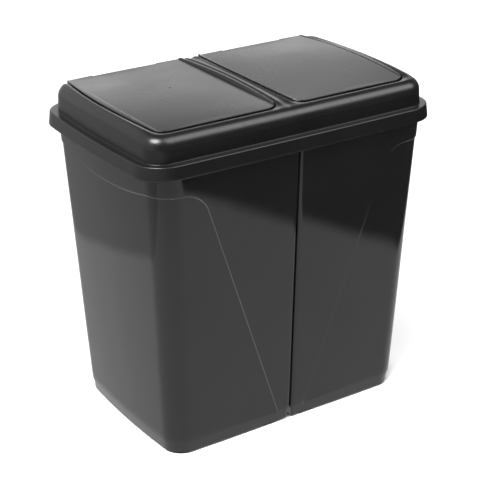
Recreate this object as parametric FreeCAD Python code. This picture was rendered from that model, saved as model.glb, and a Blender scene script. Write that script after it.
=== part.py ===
import FreeCAD, Part
import math
import os

from FreeCAD import Vector

# Double recycling bin: two tall tapered bins side by side under one lift-off lid
# frame, with a hinged lid over each bin. Millimetres. The origin is on the floor
# under the middle of the bin, +Z is up, the front faces -Y and +X is to the right.

# Bins
BIN_HEIGHT = 465.7         # base to rim, without the feet
RIM_HALF_X = 246.3         # rim of the pair: half width, half depth, corner radius
RIM_HALF_Y = 161.6
RIM_CORNER_R = 43.3
RIM_THICKNESS = 3.0
END_LIP = 12.2             # how far the rim stands out past the end wall
SIDE_LIP = 2.3             # the same at the front and back walls
END_DRAFT_DEG = 2.85       # taper of the end walls
SIDE_DRAFT_DEG = 2.61      # taper of the front and back walls
WALL_CORNER_R_TOP = 38.1
WALL_CORNER_R_FOOT = 35.4
INNER_CORNER_R = 5.0       # corners beside the seam
SEAM_GAP = 1.6             # between the two bins
BIN_WALL = 2.0
BIN_FLOOR = 2.5
END_BOW = 3.7              # outward bow of the end walls and of the frame's ends
BIN_FRONT_BOW = 1.0        # outward bow of each bin's front and back
PLINTH_HEIGHT = 16.0       # base band under the walls
PLINTH_INSET = 3.2         # from the face of the raised panel
BASE_EDGE_R = 1.5

# Raised panel on the walls: all the wall above a line below the rim, and a
# tapering tongue of it that runs down beside the seam to the plinth.
RELIEF = 1.5               # how far the panel stands out
PANEL_DROP = 46.7          # rim to the panel's lower line at the front and back
PANEL_SAG = 14.0           # how much lower the line runs in the middle of the ends
PANEL_SHOULDER = 71.5      # end wall to the corner of the line and the tongue
PANEL_TOE = 22.0           # width of the tongue at the plinth, from the seam
PANEL_CORNER_R = 44.0

# Feet
FOOT_HEIGHT = 3.0
FOOT_SIZE = 30.0
FOOT_INSET = 3.0           # base outline to the foot's edge
FOOT_SEAM_OFFSET = 14.0    # base's edge at the seam to the foot
FOOT_CORNER_R = 4.0
FOOT_PEG_R = 4.0           # peg that plugs into the base
FOOT_PEG_LENGTH = 2.0
FOOT_PEG_CLEARANCE = 0.1

# Lid frame
SEAT_GAP = 0.3             # frame on the rims, and lid on its ledge
RIM_CLEARANCE = 1.2        # rim to the inside of the frame's band
SKIN = 2.5                 # wall of the frame and the lids
BAND_HEIGHT = 20.0
BAND_DRAFT = 2.0           # how much smaller the band is at its top
BAND_EDGE_R = 1.2
FRAME_SIDE_BOW = 1.4
LEDGE_X = 13.0             # band to dome, at the ends
LEDGE_Y = 14.3             # band to dome, at the front and back
DOME_HEIGHT = 42.7         # ledge to the highest point
DOME_DRAFT = 3.0
DOME_CORNER_R = 38.0
DOME_SHOULDER_R = 20.0
DOME_CROWN = 4.4           # how much lower the dome's top is at the lids' front
VALLEY_DEPTH = 5.0         # channel along the divider between the lids
VALLEY_HALF_ENDS = 10.0
VALLEY_HALF_MIDDLE = 5.5
VALLEY_FADE = 16.0         # length over which the channel runs out at the front

# Lids
LID_BORDER_X = 25.0        # dome's foot to the lid's edge, at the ends
LID_BORDER_FRONT = 24.1
LID_BORDER_REAR = 9.5
DIVIDER_HALF = 14.0        # middle of the frame to the lid's edge
LID_OUTER_BOW = 12.3       # barrel shape of the lid's plan
LID_INNER_BOW = 5.4
LID_FRONT_R = 22.0
LID_REAR_R = 5.0
LID_REAR_DROP = 4.0        # dome's highest point to the lid's tray at its back edge
LID_TILT_DROP = 2.2        # how much lower the lid's front is than its back
TRAY_BORDER_INNER = 4.5    # lid's edge to the tray in its middle, at the tray's ends
TRAY_BORDER_OUTER = 2.5
TRAY_INNER_BOW = 5.9
TRAY_OUTER_BOW = 6.5
TRAY_SIDE_SLOPE = 1.8      # run of the tray's sloping sides
RAIL_DROP = 0.6            # dome's top to the rails beside the tray
LID_RIM_DEPTH = 6.5
LID_EDGE_R = 1.8
LID_GAP = 1.5              # lid to frame all round
LEDGE_UNDER_LID = 7.0
CUTBACK = 3.3              # step in the lid's back edge between its two hinges
CUTBACK_OUTER = 43.0       # outer edge to the step
CUTBACK_INNER = 45.4       # inner edge to the step

# Hinges
PIN_R = 2.0
PIN_CLEARANCE = 0.05       # radial, pin in its bores
PIN_BEHIND = 7.5           # axis to the lid's back edge
PIN_BELOW = 7.2            # axis to the lid's top
KNUCKLE_R = 4.2
KNUCKLE_LENGTH = 16.0
KNUCKLE_INSET_OUTER = 23.0 # lid's outer edge to the middle of the outer knuckle
KNUCKLE_INSET_INNER = 24.4
EAR_THICKNESS = 4.0
EAR_GAP = 0.4              # knuckle to ear
EAR_FRONT = 9.0            # hinge axis to the front and the back of the ear's post,
EAR_BACK = 1.3             # which leaves room behind it for the lid's swinging edge
PIN_END = 0.6              # how far the pin's tail stands out of its ear
PIN_HEAD_R = 3.4
PIN_HEAD_THICKNESS = 1.6
SHELF_DEPTH = 13.5         # hinge axis to the shelf that carries the ears
SHELF_REACH = 15.5         # hinge axis forward to the shelf's front edge
SWING_CLEARANCE = 1.1      # lid's back edge to the frame as it swings
REAR_WALL_RISE = 5.0       # hinge axis down to the top of the wall behind it

# Levels and places that follow from the sizes above
BASE_Z = FOOT_HEIGHT
PLINTH_Z = BASE_Z + PLINTH_HEIGHT
RIM_Z = BASE_Z + BIN_HEIGHT
LEDGE_Z = RIM_Z + SEAT_GAP + SKIN
BAND_Z = LEDGE_Z - BAND_HEIGHT
DOME_Z = LEDGE_Z + DOME_HEIGHT
BAND_HALF_X = RIM_HALF_X + RIM_CLEARANCE + SKIN
BAND_HALF_Y = RIM_HALF_Y + RIM_CLEARANCE + SKIN
BAND_CORNER_R = RIM_CORNER_R + RIM_CLEARANCE + SKIN
DOME_HALF_X = BAND_HALF_X - LEDGE_X
DOME_HALF_Y = BAND_HALF_Y - LEDGE_Y
LID_OUTER_X = DOME_HALF_X - LID_BORDER_X
LID_FRONT_Y = -DOME_HALF_Y + LID_BORDER_FRONT
LID_REAR_Y = DOME_HALF_Y - LID_BORDER_REAR
LID_TOP_Z = DOME_Z - LID_REAR_DROP
LID_RIM_Z = LID_TOP_Z - LID_RIM_DEPTH
LID_LEDGE_Z = LID_RIM_Z - LID_TILT_DROP - SEAT_GAP
HINGE_Y = LID_REAR_Y - PIN_BEHIND
HINGE_Z = LID_TOP_Z - PIN_BELOW
SHELF_Z = HINGE_Z - SHELF_DEPTH
SWING_R = math.hypot(PIN_BEHIND, PIN_BELOW) + SWING_CLEARANCE
PIN_BORE_R = PIN_R + PIN_CLEARANCE
OVER = 50.0                # how far cutting tools reach past what they cut


# Outlines and basic solids

def bow_radius(half_chord, bow):
    return (half_chord ** 2 + bow ** 2) / (2 * bow)


def through(start, middle, end):
    return Part.Arc(start, middle, end).toShape()


def circles_meet(centre_a, radius_a, centre_b, radius_b, towards):
    """The point where two circles cross, on the side that `towards` points to."""
    apart = centre_b - centre_a
    span = apart.Length
    along = (radius_a ** 2 - radius_b ** 2 + span ** 2) / (2 * span)
    aside = math.sqrt(radius_a ** 2 - along ** 2)
    axis = apart.normalize()
    normal = Vector(-axis.y, axis.x, 0)
    if normal.dot(towards) < 0:
        normal = normal * -1
    return centre_a + axis * along + normal * aside


def corner_arc(centre, radius, first, last):
    middle = (first - centre).normalize() + (last - centre).normalize()
    return through(first, centre + middle.normalize() * radius, last)


def bowed_rectangle(half_x, half_y, corner_r, end_bow, side_bow, z):
    """Rounded rectangle about the origin whose four sides bow outward."""
    side_r = bow_radius(half_x - corner_r, side_bow)
    end_r = bow_radius(half_y - corner_r, end_bow)
    side_centre = Vector(0, side_r - half_y - side_bow, 0)
    end_centre = Vector(half_x + end_bow - end_r, 0, 0)
    centre = circles_meet(side_centre, side_r - corner_r, end_centre, end_r - corner_r, Vector(1, -1, 0))
    on_side = side_centre + (centre - side_centre).normalize() * side_r
    on_end = end_centre + (centre - end_centre).normalize() * end_r
    edges = []
    for turn in range(4):
        flip_x = -1 if turn in (1, 2) else 1
        flip_y = -1 if turn in (2, 3) else 1

        def place(point):
            return Vector(point.x * flip_x, -point.y * flip_y, z)

        ends = [place(on_side), place(on_end)]
        if turn % 2 == 0:
            ends.reverse()
        edges.append(corner_arc(place(centre), corner_r, ends[0], ends[1]))
        if turn % 2 == 0:
            apex = Vector(0, (half_y + side_bow) * flip_y, z)
            edges.append(through(ends[1], apex, Vector(-ends[1].x, ends[1].y, z)))
        else:
            apex = Vector((half_x + end_bow) * flip_x, 0, z)
            edges.append(through(ends[1], apex, Vector(ends[1].x, -ends[1].y, z)))
    return Part.Wire(Part.__sortEdges__(edges))


def bin_outline(inner_x, outer_x, half_y, outer_r, inner_r, z):
    """Outline of the right-hand bin: flat beside the seam, bowed on its other sides."""
    half_span = (outer_x - inner_x) / 2
    middle_x = (outer_x + inner_x) / 2
    front_r = bow_radius(half_span, BIN_FRONT_BOW)
    end_r = bow_radius(half_y - outer_r, END_BOW)
    front_centre = Vector(middle_x, front_r - half_y - BIN_FRONT_BOW, 0)
    end_centre = Vector(outer_x + END_BOW - end_r, 0, 0)
    outer = circles_meet(front_centre, front_r - outer_r, end_centre, end_r - outer_r, Vector(1, -1, 0))
    outer_on_front = front_centre + (outer - front_centre).normalize() * front_r
    outer_on_end = end_centre + (outer - end_centre).normalize() * end_r
    inner_dx = inner_x + inner_r - middle_x
    inner_y = front_centre.y - math.sqrt((front_r - inner_r) ** 2 - inner_dx ** 2)
    inner = Vector(inner_x + inner_r, inner_y, 0)
    inner_on_front = front_centre + (inner - front_centre).normalize() * front_r
    inner_on_seam = Vector(inner_x, inner_y, 0)

    def at(point, flip_y=1):
        return Vector(point.x, point.y * flip_y, z)

    edges = [through(at(outer_on_end), Vector(outer_x + END_BOW, 0, z), at(outer_on_end, -1)),
             Part.makeLine(at(inner_on_seam), at(inner_on_seam, -1))]
    for flip_y in (1, -1):
        apex = Vector(middle_x, (-half_y - BIN_FRONT_BOW) * flip_y, z)
        edges.append(through(at(inner_on_front, flip_y), apex, at(outer_on_front, flip_y)))
        edges.append(corner_arc(at(outer, flip_y), outer_r, at(outer_on_front, flip_y), at(outer_on_end, flip_y)))
        edges.append(corner_arc(at(inner, flip_y), inner_r, at(inner_on_front, flip_y), at(inner_on_seam, flip_y)))
    return Part.Wire(Part.__sortEdges__(edges))


def loft(*wires):
    return Part.makeLoft(list(wires), True, True)


def prism(wire, depth):
    return Part.Face(wire).extrude(depth)


def box(low, high):
    return Part.makeBox(high[0] - low[0], high[1] - low[1], high[2] - low[2], Vector(*low))


def rod_x(radius, start_x, end_x, y, z):
    return Part.makeCylinder(radius, abs(end_x - start_x), Vector(min(start_x, end_x), y, z), Vector(1, 0, 0))


def mirrored(shape):
    return shape.mirror(Vector(0, 0, 0), Vector(1, 0, 0))


def round_edges(shape, radius, chosen):
    edges = [edge for edge in shape.Edges if chosen(edge)]
    return shape.makeFillet(radius, edges)


def edge_lies_at(z):
    return lambda edge: abs(edge.BoundBox.ZMin - z) < 0.01 and abs(edge.BoundBox.ZMax - z) < 0.01


# Bins

def wall_outline(z, inset):
    """Outline of the right-hand bin's wall at a height, moved inward by an inset."""
    below_rim = RIM_Z - z
    outer_x = RIM_HALF_X - END_LIP - below_rim * math.tan(math.radians(END_DRAFT_DEG))
    half_y = RIM_HALF_Y - SIDE_LIP - below_rim * math.tan(math.radians(SIDE_DRAFT_DEG))
    taper = (WALL_CORNER_R_TOP - WALL_CORNER_R_FOOT) / BIN_HEIGHT
    outer_r = WALL_CORNER_R_TOP - taper * below_rim - inset
    inner_r = max(INNER_CORNER_R - inset, 1.0)
    return bin_outline(SEAM_GAP / 2 + inset, outer_x - inset, half_y - inset, outer_r, inner_r, z)


def wall_loft(low_z, high_z, inset):
    return loft(wall_outline(low_z, inset), wall_outline(high_z, inset))


def panel_region():
    """Space that holds the raised panel: the wall above the line and the tongue by the seam."""
    line_z = RIM_Z - PANEL_DROP
    end_x = RIM_HALF_X + OVER
    corner = Vector(RIM_HALF_X - END_LIP - PANEL_SHOULDER, 0, line_z)
    toe = Vector(SEAM_GAP / 2 + PANEL_TOE, 0, PLINTH_Z)
    down = (toe - corner).normalize()
    turn = math.acos(down.x)
    reach = PANEL_CORNER_R * math.tan((math.pi - turn) / 2)
    on_line = corner + Vector(reach, 0, 0)
    on_tongue = corner + down * reach
    inward = (Vector(1, 0, 0) + down).normalize()
    centre = corner + inward * math.hypot(reach, PANEL_CORNER_R)
    bend = through(on_tongue, centre - inward * PANEL_CORNER_R, on_line)
    corners = [on_line, Vector(end_x, 0, line_z), Vector(end_x, 0, RIM_Z), Vector(0, 0, RIM_Z),
               Vector(0, 0, PLINTH_Z), toe, on_tongue]
    edges = [Part.makeLine(a, b) for a, b in zip(corners, corners[1:])]
    front_shape = Part.Wire(Part.__sortEdges__(edges + [bend]))
    slab = prism(front_shape, Vector(0, 2 * (RIM_HALF_Y + OVER), 0))
    slab.translate(Vector(0, -RIM_HALF_Y - OVER, 0))
    side_y = RIM_HALF_Y - WALL_CORNER_R_TOP
    far_y = RIM_HALF_Y + OVER
    sag = through(Vector(0, -side_y, line_z), Vector(0, 0, line_z - PANEL_SAG), Vector(0, side_y, line_z))
    closing = Part.makePolygon([Vector(0, side_y, line_z), Vector(0, far_y, line_z), Vector(0, far_y, RIM_Z),
                                Vector(0, -far_y, RIM_Z), Vector(0, -far_y, line_z), Vector(0, -side_y, line_z)])
    end_shape = Part.Wire(Part.__sortEdges__([sag] + closing.Edges))
    end_slab = prism(end_shape, Vector(2 * WALL_CORNER_R_TOP, 0, 0))
    end_slab.translate(Vector(RIM_HALF_X - END_LIP - WALL_CORNER_R_TOP, 0, 0))
    return slab.fuse(end_slab)


def foot_boxes():
    """Plan of each foot under the right-hand bin before its corners are rounded: the cuts
    that bound it along X and Y. A foot at an outside corner follows the base's outline there."""
    base = wall_outline(BASE_Z, PLINTH_INSET + FOOT_INSET).BoundBox
    outer_x = base.XMax - END_BOW - FOOT_SIZE
    inner_x = SEAM_GAP / 2 + PLINTH_INSET + FOOT_SEAM_OFFSET
    inner_y = base.YMax - BIN_FRONT_BOW - FOOT_SIZE
    spans_x = {"outer": (outer_x, outer_x + 2 * FOOT_SIZE), "inner": (inner_x, inner_x + FOOT_SIZE)}
    spans_y = {"front": (-inner_y - 2 * FOOT_SIZE, -inner_y), "rear": (inner_y, inner_y + 2 * FOOT_SIZE)}
    return {f"{end}_{side}": (spans_x[side], spans_y[end]) for end in spans_y for side in spans_x}


def peg_centre(span_x, span_y):
    centre_y = span_y[0] + FOOT_SIZE / 2 if span_y[0] > 0 else span_y[1] - FOOT_SIZE / 2
    return Vector(span_x[0] + FOOT_SIZE / 2, centre_y, FOOT_HEIGHT)


def foot(span_x, span_y):
    """Pad under the base, with a peg that plugs into the base."""
    outline = prism(wall_outline(BASE_Z, PLINTH_INSET + FOOT_INSET), Vector(0, 0, -FOOT_HEIGHT))
    pad = outline.common(box((span_x[0], span_y[0], 0), (span_x[1], span_y[1], FOOT_HEIGHT)))

    def cut_corner(edge):
        place = edge.BoundBox
        on_cut = [abs(place.XMin - x) < 0.01 for x in span_x] + [abs(place.YMin - y) < 0.01 for y in span_y]
        return place.ZLength > FOOT_HEIGHT / 2 and any(on_cut)

    pad = round_edges(pad, FOOT_CORNER_R, cut_corner)
    peg = Part.makeCylinder(FOOT_PEG_R, FOOT_PEG_LENGTH, peg_centre(span_x, span_y))
    return pad.fuse(peg)


def make_bin():
    """Right-hand bin: plinth, drafted walls with the raised panel, floor and rim."""
    plinth = wall_loft(BASE_Z, PLINTH_Z, PLINTH_INSET)
    plinth = round_edges(plinth, BASE_EDGE_R, edge_lies_at(BASE_Z))
    lower_wall = wall_loft(PLINTH_Z, RIM_Z, RELIEF)
    panel = wall_loft(PLINTH_Z, RIM_Z, 0).common(panel_region())
    rim = prism(bin_outline(SEAM_GAP / 2, RIM_HALF_X, RIM_HALF_Y, RIM_CORNER_R, INNER_CORNER_R, RIM_Z),
                Vector(0, 0, -RIM_THICKNESS))
    body = plinth.fuse([lower_wall, panel, rim])
    floor_z = BASE_Z + BIN_FLOOR
    step_z = PLINTH_Z + BIN_FLOOR
    hollow_low = wall_loft(floor_z, step_z, max(PLINTH_INSET, RELIEF) + BIN_WALL)
    hollow_high = wall_loft(step_z, RIM_Z, RELIEF + BIN_WALL)
    rim_hole = prism(wall_outline(RIM_Z, RELIEF + BIN_WALL), Vector(0, 0, OVER))
    body = body.cut([hollow_low, hollow_high, rim_hole])
    sockets = [Part.makeCylinder(FOOT_PEG_R + FOOT_PEG_CLEARANCE, FOOT_PEG_LENGTH + FOOT_PEG_CLEARANCE,
                                 peg_centre(*spans)) for spans in foot_boxes().values()]
    return body.cut(sockets)


# Lid plan: a four-sided outline with two bowed sides, shared by the lid, its tray, its
# pocket in the frame, the ledge and the aperture.

def four_sided(z, inner_x, outer_x, front_y, rear_y, inner_bow, outer_bow):
    """Outline with sharp corners whose sides bow outward along X."""
    middle_y = (front_y + rear_y) / 2
    corners = [Vector(inner_x, front_y, z), Vector(outer_x, front_y, z),
               Vector(outer_x, rear_y, z), Vector(inner_x, rear_y, z)]
    sides = [Part.makeLine(corners[0], corners[1]),
             through(corners[1], Vector(outer_x + outer_bow, middle_y, z), corners[2]),
             Part.makeLine(corners[2], corners[3]),
             through(corners[3], Vector(inner_x - inner_bow, middle_y, z), corners[0])]
    return Part.Wire(sides)


def lid_blank(low_z, high_z, grow):
    """Prism of the right-hand lid's plan, moved outward by `grow`."""
    front_y = LID_FRONT_Y - grow
    rear_y = LID_REAR_Y + grow
    outline = four_sided(low_z, DIVIDER_HALF - grow, LID_OUTER_X + grow, front_y, rear_y,
                         LID_INNER_BOW, LID_OUTER_BOW)
    blank = prism(outline, Vector(0, 0, high_z - low_z))

    def upright_at(y):
        return lambda edge: edge.BoundBox.ZLength > 0.1 and abs(edge.BoundBox.YMin - y) < 0.01 \
            and edge.BoundBox.YLength < 0.01 and edge.BoundBox.XLength < 0.01

    blank = round_edges(blank, LID_FRONT_R + grow, upright_at(front_y))
    return round_edges(blank, max(LID_REAR_R + grow, 1.0), upright_at(rear_y))


def cutback(grow):
    """Tool that steps the middle of the lid's back edge forward, between the hinges."""
    low_x = DIVIDER_HALF + CUTBACK_INNER - grow
    high_x = LID_OUTER_X - CUTBACK_OUTER + grow
    return box((low_x, LID_REAR_Y - CUTBACK - grow, LID_RIM_Z - OVER), (high_x, LID_REAR_Y + OVER, DOME_Z))


def knuckle_places():
    """Middle of each knuckle along X, and the side that its pin's head is on."""
    return {"outer": (LID_OUTER_X - KNUCKLE_INSET_OUTER, -1), "inner": (DIVIDER_HALF + KNUCKLE_INSET_INNER, 1)}


def crown(drop):
    """Barrel across the bin whose top is the dome's crown, lowered by `drop`."""
    radius = bow_radius(-LID_FRONT_Y + LID_GAP, DOME_CROWN)
    barrel = rod_x(radius - drop, -BAND_HALF_X, BAND_HALF_X, 0, DOME_Z - radius)
    barrel.rotate(Vector(0, 0, DOME_Z - radius), Vector(1, 0, 0), 180)
    return barrel


def tray_outline(z, inset):
    """Outline of the lid's tray, open at the lid's front and back edges."""
    return four_sided(z, DIVIDER_HALF + TRAY_BORDER_INNER + inset, LID_OUTER_X - TRAY_BORDER_OUTER - inset,
                      LID_FRONT_Y - 1, LID_REAR_Y + 1, TRAY_INNER_BOW, TRAY_OUTER_BOW)


def make_lid():
    """Right-hand lid: its sides are raised rails level with the frame, its middle is a
    shallow tray, and a knuckle hangs under each back corner."""
    tilt = math.degrees(math.atan2(LID_TILT_DROP, HINGE_Y - LID_FRONT_Y))
    hinge = Vector(0, HINGE_Y, HINGE_Z)
    top = crown(RAIL_DROP)
    top.rotate(hinge, Vector(1, 0, 0), -tilt)
    shell = lid_blank(LID_RIM_Z, DOME_Z + OVER, 0).common(top)
    shell = round_edges(shell, LID_EDGE_R, lambda edge: edge.BoundBox.ZMin > LID_TOP_Z - LID_TILT_DROP)
    tray = loft(tray_outline(LID_TOP_Z, 0), tray_outline(DOME_Z + LID_REAR_DROP, -2 * TRAY_SIDE_SLOPE))
    shell = shell.cut([tray, cutback(0)])
    inside = lid_blank(LID_RIM_Z - OVER, LID_TOP_Z - SKIN, -SKIN).cut(cutback(SKIN))
    lid = shell.cut(inside)
    bores = []
    for middle_x, _ in knuckle_places().values():
        low_x = middle_x - KNUCKLE_LENGTH / 2
        high_x = middle_x + KNUCKLE_LENGTH / 2
        barrel = rod_x(KNUCKLE_R, low_x, high_x, HINGE_Y, HINGE_Z)
        web = box((low_x, HINGE_Y - KNUCKLE_R, HINGE_Z), (high_x, HINGE_Y + KNUCKLE_R, LID_TOP_Z - SKIN / 2))
        lid = lid.fuse([barrel, web])
        bores.append(rod_x(PIN_BORE_R, low_x - 1, high_x + 1, HINGE_Y, HINGE_Z))
    lid = lid.cut(bores)
    lid.rotate(hinge, Vector(1, 0, 0), tilt)
    return lid


def make_pin(middle_x, head_side):
    """Hinge pin: its shank runs through ear, knuckle and ear, and its head stops it."""
    half = KNUCKLE_LENGTH / 2 + EAR_GAP + EAR_THICKNESS
    head_x = middle_x + head_side * (half + PIN_CLEARANCE)
    tail_x = middle_x - head_side * (half + PIN_END)
    shank = rod_x(PIN_R, head_x, tail_x, HINGE_Y, HINGE_Z)
    head = rod_x(PIN_HEAD_R, head_x, head_x + head_side * PIN_HEAD_THICKNESS, HINGE_Y, HINGE_Z)
    return shank.fuse(head)


# Lid frame

def dome_solid(inset):
    """The raised top of the frame as a closed solid, moved inward by an inset."""
    base = bowed_rectangle(DOME_HALF_X - inset, DOME_HALF_Y - inset, DOME_CORNER_R - inset,
                           END_BOW, FRAME_SIDE_BOW, LEDGE_Z - SKIN)
    shrink = inset + DOME_DRAFT
    top = bowed_rectangle(DOME_HALF_X - shrink, DOME_HALF_Y - shrink, DOME_CORNER_R - shrink,
                          END_BOW, FRAME_SIDE_BOW, DOME_Z + DOME_CROWN)
    solid = loft(base, top).common(crown(inset))
    wall_top = DOME_Z - DOME_CROWN - 3 * DOME_SHOULDER_R / 4

    def top_edge(edge):
        return edge.BoundBox.ZMin > wall_top

    return round_edges(solid, DOME_SHOULDER_R - inset, top_edge)


def valley(grow):
    """Channel along the divider, narrower in the middle and running out at the front."""
    sections = []
    for y, half_width, depth in ((LID_REAR_Y + OVER, VALLEY_HALF_ENDS, VALLEY_DEPTH),
                                 (0, VALLEY_HALF_MIDDLE, VALLEY_DEPTH),
                                 (LID_FRONT_Y, VALLEY_HALF_ENDS, VALLEY_DEPTH),
                                 (LID_FRONT_Y - VALLEY_FADE, VALLEY_HALF_ENDS, VALLEY_DEPTH / 4)):
        top_z = DOME_Z + SKIN
        low_z = DOME_Z - depth - grow
        bottom = through(Vector(-half_width - grow, y, top_z), Vector(0, y, low_z),
                         Vector(half_width + grow, y, top_z))
        lid_line = Part.makeLine(bottom.Vertexes[-1].Point, bottom.Vertexes[0].Point)
        sections.append(Part.Wire([bottom, lid_line]))
    return loft(*sections)


def make_frame():
    """Lid frame: band over the rims, ledge, dome, a pocket for each lid and the hinge ears."""
    band_top = bowed_rectangle(BAND_HALF_X - BAND_DRAFT, BAND_HALF_Y - BAND_DRAFT, BAND_CORNER_R - BAND_DRAFT,
                               END_BOW, FRAME_SIDE_BOW, LEDGE_Z)
    band_low = bowed_rectangle(BAND_HALF_X, BAND_HALF_Y, BAND_CORNER_R, END_BOW, FRAME_SIDE_BOW, BAND_Z)
    band = round_edges(loft(band_low, band_top), BAND_EDGE_R, edge_lies_at(LEDGE_Z))
    hollow_half_x = BAND_HALF_X - SKIN
    hollow_half_y = BAND_HALF_Y - SKIN
    hollow = prism(bowed_rectangle(hollow_half_x, hollow_half_y, BAND_CORNER_R - SKIN,
                                   END_BOW, FRAME_SIDE_BOW, BAND_Z - OVER),
                   Vector(0, 0, LEDGE_Z - SKIN - BAND_Z + OVER))
    dome = dome_solid(0)
    shell = band.cut(hollow).fuse(dome).cut(dome_solid(SKIN))

    liners = []
    pockets = []
    apertures = []
    shelf_front = HINGE_Y - SHELF_REACH
    rear_wall_y = HINGE_Y + SWING_R
    for side in (1, -1):
        place = (lambda shape: shape) if side == 1 else mirrored
        low_x = DIVIDER_HALF - LID_GAP - 1
        high_x = LID_OUTER_X + LID_GAP + 1
        pocket = lid_blank(LID_LEDGE_Z, DOME_Z + OVER, LID_GAP)
        hinge_pocket = box((low_x, shelf_front, SHELF_Z), (high_x, rear_wall_y, DOME_Z + OVER))
        liner = lid_blank(LID_LEDGE_Z - SKIN, DOME_Z, LID_GAP + SKIN)
        hinge_liner = box((low_x - SKIN, shelf_front - SKIN, SHELF_Z - SKIN), (high_x + SKIN, DOME_HALF_Y, DOME_Z))
        aperture = lid_blank(SHELF_Z - OVER, DOME_Z + OVER, -LEDGE_UNDER_LID)
        aperture = aperture.cut(box((0, shelf_front - SKIN, SHELF_Z - 2 * OVER),
                                    (BAND_HALF_X, BAND_HALF_Y, DOME_Z + 2 * OVER)))
        rear_opening = box((low_x, rear_wall_y - 1, HINGE_Z - REAR_WALL_RISE),
                           (high_x, BAND_HALF_Y, DOME_Z + OVER))
        liners += [place(liner), place(hinge_liner)]
        pockets += [place(pocket), place(hinge_pocket), place(rear_opening)]
        apertures.append(place(aperture))
    linings = liners[0].fuse(liners[1:] + [valley(SKIN)]).common(dome_solid(0))
    frame = shell.fuse(linings).cut(pockets + apertures + [valley(0)])

    ears = []
    bores = []
    for middle_x, _ in knuckle_places().values():
        for end in (-1, 1):
            near_x = middle_x + end * (KNUCKLE_LENGTH / 2 + EAR_GAP)
            far_x = near_x + end * EAR_THICKNESS
            low_x = min(near_x, far_x)
            boss = rod_x(KNUCKLE_R, near_x, far_x, HINGE_Y, HINGE_Z)
            post = box((low_x, HINGE_Y - EAR_FRONT, SHELF_Z - SKIN / 2),
                       (low_x + EAR_THICKNESS, HINGE_Y - EAR_BACK, HINGE_Z))
            ears += [boss, post, mirrored(boss), mirrored(post)]
            bore = rod_x(PIN_BORE_R, near_x - end, far_x + end, HINGE_Y, HINGE_Z)
            bores += [bore, mirrored(bore)]
    return frame.fuse(ears).cut(bores)


def write(name, shape):
    solids = shape.Solids
    if len(solids) != 1 or not shape.isValid():
        raise ValueError(f"{name}: {len(solids)} solids, valid {shape.isValid()}")
    solids[0].exportStep(f"parts/{name}.step")


def main():
    os.makedirs("parts", exist_ok=True)
    right = {"bin": make_bin(), "lid": make_lid()}
    for name, spans in foot_boxes().items():
        right["bin_foot_" + name] = foot(*spans)
    for name, (middle_x, head_side) in knuckle_places().items():
        right["hinge_pin_" + name] = make_pin(middle_x, head_side)
    for name, shape in right.items():
        write("right_" + name, shape)
        write("left_" + name, mirrored(shape))
    write("lid_frame", make_frame())


main()
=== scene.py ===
# Double recycling bin for Blender: two glossy tapered bins with a raised panel, under one
# satin lid frame that carries a hinged lid over each bin. Sizes inside the functions are
# millimetres; the origin is on the floor under the middle, the front faces -Y.

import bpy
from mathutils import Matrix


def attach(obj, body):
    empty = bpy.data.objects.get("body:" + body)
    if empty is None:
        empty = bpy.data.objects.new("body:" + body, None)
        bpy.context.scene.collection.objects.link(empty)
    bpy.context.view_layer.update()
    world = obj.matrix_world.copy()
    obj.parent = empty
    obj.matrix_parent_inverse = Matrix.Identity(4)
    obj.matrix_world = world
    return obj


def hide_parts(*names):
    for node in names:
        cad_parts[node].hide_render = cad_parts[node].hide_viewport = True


bl_info = {
    "name": "Double Recycling Bin",
    "version": (1, 0, 0),
    "blender": (4, 5, 0),
    "location": "3D View > Sidebar > Recycling Bin",
    "description": "Builds a double recycling bin with a lift-off frame and two hinged lids",
    "category": "Add Mesh",
}

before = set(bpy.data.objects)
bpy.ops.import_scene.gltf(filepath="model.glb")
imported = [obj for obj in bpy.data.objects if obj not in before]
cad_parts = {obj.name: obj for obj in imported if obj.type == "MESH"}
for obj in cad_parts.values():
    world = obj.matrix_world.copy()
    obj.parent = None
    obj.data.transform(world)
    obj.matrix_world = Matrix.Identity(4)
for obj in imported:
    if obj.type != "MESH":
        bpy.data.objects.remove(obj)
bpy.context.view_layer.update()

import math

import bmesh
import bpy
from mathutils import Matrix, Vector, noise

MM = 0.001

# Camera and studio, in metres. The white paper lies along BACK; ACROSS points to its
# right-hand edge.
CAMERA_PLACE, CAMERA_TARGET = (-1.11169, -1.70725, 1.17018), (0.06336, 0.06708, 0.19253)
CAMERA_ROLL, CAMERA_SHIFT = -0.0043, (-0.0008, 0.0006)
ACROSS, BACK, PAPER_HALF = (0.8338, -0.5521, 0.0), (0.5521, 0.8338, 0.0), 0.69
# Half sizes of the object's foot, how far from it the floor's shade fades, and what is left.
FOOT_HALF, SHADE_START, SHADE_END, FAR_SHADE = (0.218, 0.134, 0.0), 0.002, 0.035, 0.3
# Light of the paper behind the object as a product of ramps: the axis of the direction, where
# the ramp starts and ends, and the factor before and after it.
PAPER_GLOW = (("up", 0.05, 0.20, 0.15, 2.75), ("up", 0.22, 0.36, 1.0, 0.18), ("up", 0.36, 0.52, 1.0, 0.15),
              ("across", 0.10, 0.40, 1.0, 0.15), ("across", -0.50, -0.18, 0.3, 1.0),
              ("back", 0.30, 0.80, 0.0, 1.0))
# Each soft box: the direction it shines from, where its edge starts and ends as a cosine, and
# its strength.
SOFT_BOXES = (((0.50, -0.42, 0.76), 0.900, 0.975, 5.4), ((-0.42, -0.17, 0.89), 0.930, 0.985, 26.0))

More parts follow.
